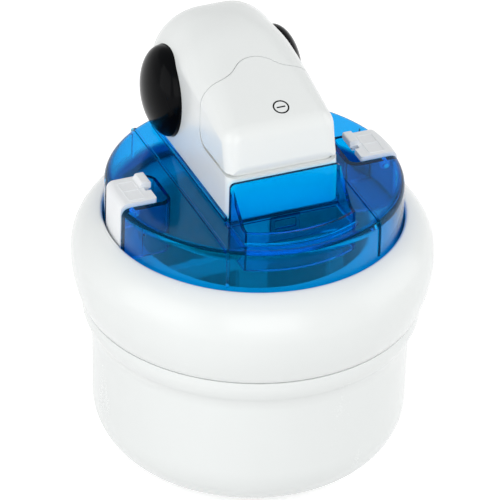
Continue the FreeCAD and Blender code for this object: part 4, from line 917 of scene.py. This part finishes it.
def shown_white(nodes, mirrored=1.0):
    """1 for rays from the camera or through clear plastic, a share for mirrored ones, else 0."""
    kinds = ("Is Camera Ray", "Is Transmission Ray", "Is Glossy Ray")
    rays = [nodes.add("ShaderNodeLightPath", {}, {}, kind) for kind in kinds]
    camera_ray, clear_ray, glossy_ray = rays
    seen = camera_ray.maths("MAXIMUM", camera_ray, clear_ray)
    return seen.maths("MAXIMUM", seen, glossy_ray * mirrored)


studio = Finish("studio_floor", {"Base Color": FLOOR_GREY, "Roughness": FLOOR_DULL})
glow = studio.add("ShaderNodeEmission", {}, {"Color": PURE_WHITE, "Strength": FLOOR_GLOW})
dark = studio.add("ShaderNodeEmission", {}, {"Color": PURE_BLACK, "Strength": 0.0})
shown = studio.add("ShaderNodeMixShader", {}, {0: shown_white(studio), 1: dark, 2: glow})
lit = Wire(studio, studio.shader.outputs["BSDF"])
both = studio.add("ShaderNodeAddShader", {}, {0: lit, 1: shown})
studio.feed(studio.tree.nodes["Material Output"].inputs["Surface"], both)
floor_mesh = bpy.data.meshes.new("floor")
floor_sides = [(-1, -1), (1, -1), (1, 1), (-1, 1)]
floor_corners = [(along * FLOOR_HALF, across * FLOOR_HALF, 0) for along, across in floor_sides]
floor_mesh.from_pydata(floor_corners, [], [(0, 1, 2, 3)])
floor_mesh.materials.append(studio.material)
floor = bpy.data.objects.new("floor", floor_mesh)
bpy.context.scene.collection.objects.link(floor)

# Studio walls, white behind the machine and in its clear plastic, and a soft grey as light.
# Mirroring pieces see white up to the backdrop's top, and over it a ceiling as grey as the light.
SKY = 0.66
BACKDROP_TOP = math.radians(18)
CEILING_LOW = math.radians(28)
world = bpy.data.worlds.new("studio")
world.use_nodes = True
bpy.context.scene.world = world
sky = Nodes(world.node_tree)
dim = sky.add("ShaderNodeBackground", {}, {"Color": PURE_WHITE, "Strength": SKY})
bright = sky.add("ShaderNodeBackground", {}, {"Color": PURE_WHITE, "Strength": 1.0})
heading = sky.add("ShaderNodeTexCoord", {}, {}, "Generated")
rise = sky.add("ShaderNodeSeparateXYZ", {}, {"Vector": heading}, "Z")
backdrop = sky.add("ShaderNodeMapRange", {"interpolation_type": "SMOOTHSTEP"}, {
    "Value": rise,
    "From Min": math.sin(CEILING_LOW),
    "From Max": math.sin(BACKDROP_TOP),
})
chosen = sky.add("ShaderNodeMixShader", {}, {0: shown_white(sky, backdrop), 1: dim, 2: bright})
sky.feed(world.node_tree.nodes["World Output"].inputs["Surface"], chosen)

# Three large soft lamps, in front of the machine and on both sides, all turned to its middle.
# The front one is the strongest, and the right one the weakest.
MACHINE_MIDDLE = Vector((-0.001354, 0.000589, 0.12921))
LAMP_SIZE = 1.6
LAMPS = {
    "front_lamp": ((-0.5, -1.8, 0.9), 12),
    "left_lamp": ((-1.7, -0.3, 0.7), 9.6),
    "right_lamp": ((1.7, -0.5, 0.7), 7.6),
}
for name, (place, power) in LAMPS.items():
    light = bpy.data.lights.new(name, "AREA")
    light.size = LAMP_SIZE
    light.energy = power
    holder = bpy.data.objects.new(name, light)
    holder.location = place
    facing = MACHINE_MIDDLE - Vector(place)
    holder.rotation_euler = facing.to_track_quat("-Z", "Y").to_euler()
    bpy.context.scene.collection.objects.link(holder)

# Camera at the photo's viewing angle, above the machine and to the left of its front.
# Its long lens stands well back, and it is rolled a little.
CAMERA_TURN = math.radians(23.5)
CAMERA_DROP = 0.56797
CAMERA_ROLL = 0.02841
CAMERA_AWAY = 3.50216
LENS = 432
SENSOR = 36
ahead = Vector((
    math.cos(CAMERA_DROP) * math.sin(CAMERA_TURN),
    math.cos(CAMERA_DROP) * math.cos(CAMERA_TURN),
    -math.sin(CAMERA_DROP),
))
sideways = Vector((math.cos(CAMERA_TURN), -math.sin(CAMERA_TURN), 0))
upward = sideways.cross(ahead)
rolled_side = math.cos(CAMERA_ROLL) * sideways + math.sin(CAMERA_ROLL) * upward
rolled_up = math.cos(CAMERA_ROLL) * upward - math.sin(CAMERA_ROLL) * sideways
aim = Matrix((rolled_side, rolled_up, -ahead)).transposed().to_4x4()
camera = bpy.data.cameras.new("camera")
camera.lens = LENS
camera.sensor_width = SENSOR
viewer = bpy.data.objects.new("camera", camera)
viewer.matrix_world = Matrix.Translation(MACHINE_MIDDLE - ahead * CAMERA_AWAY) @ aim
bpy.context.scene.collection.objects.link(viewer)
bpy.context.scene.camera = viewer
bpy.context.scene.view_settings.view_transform = "Standard"
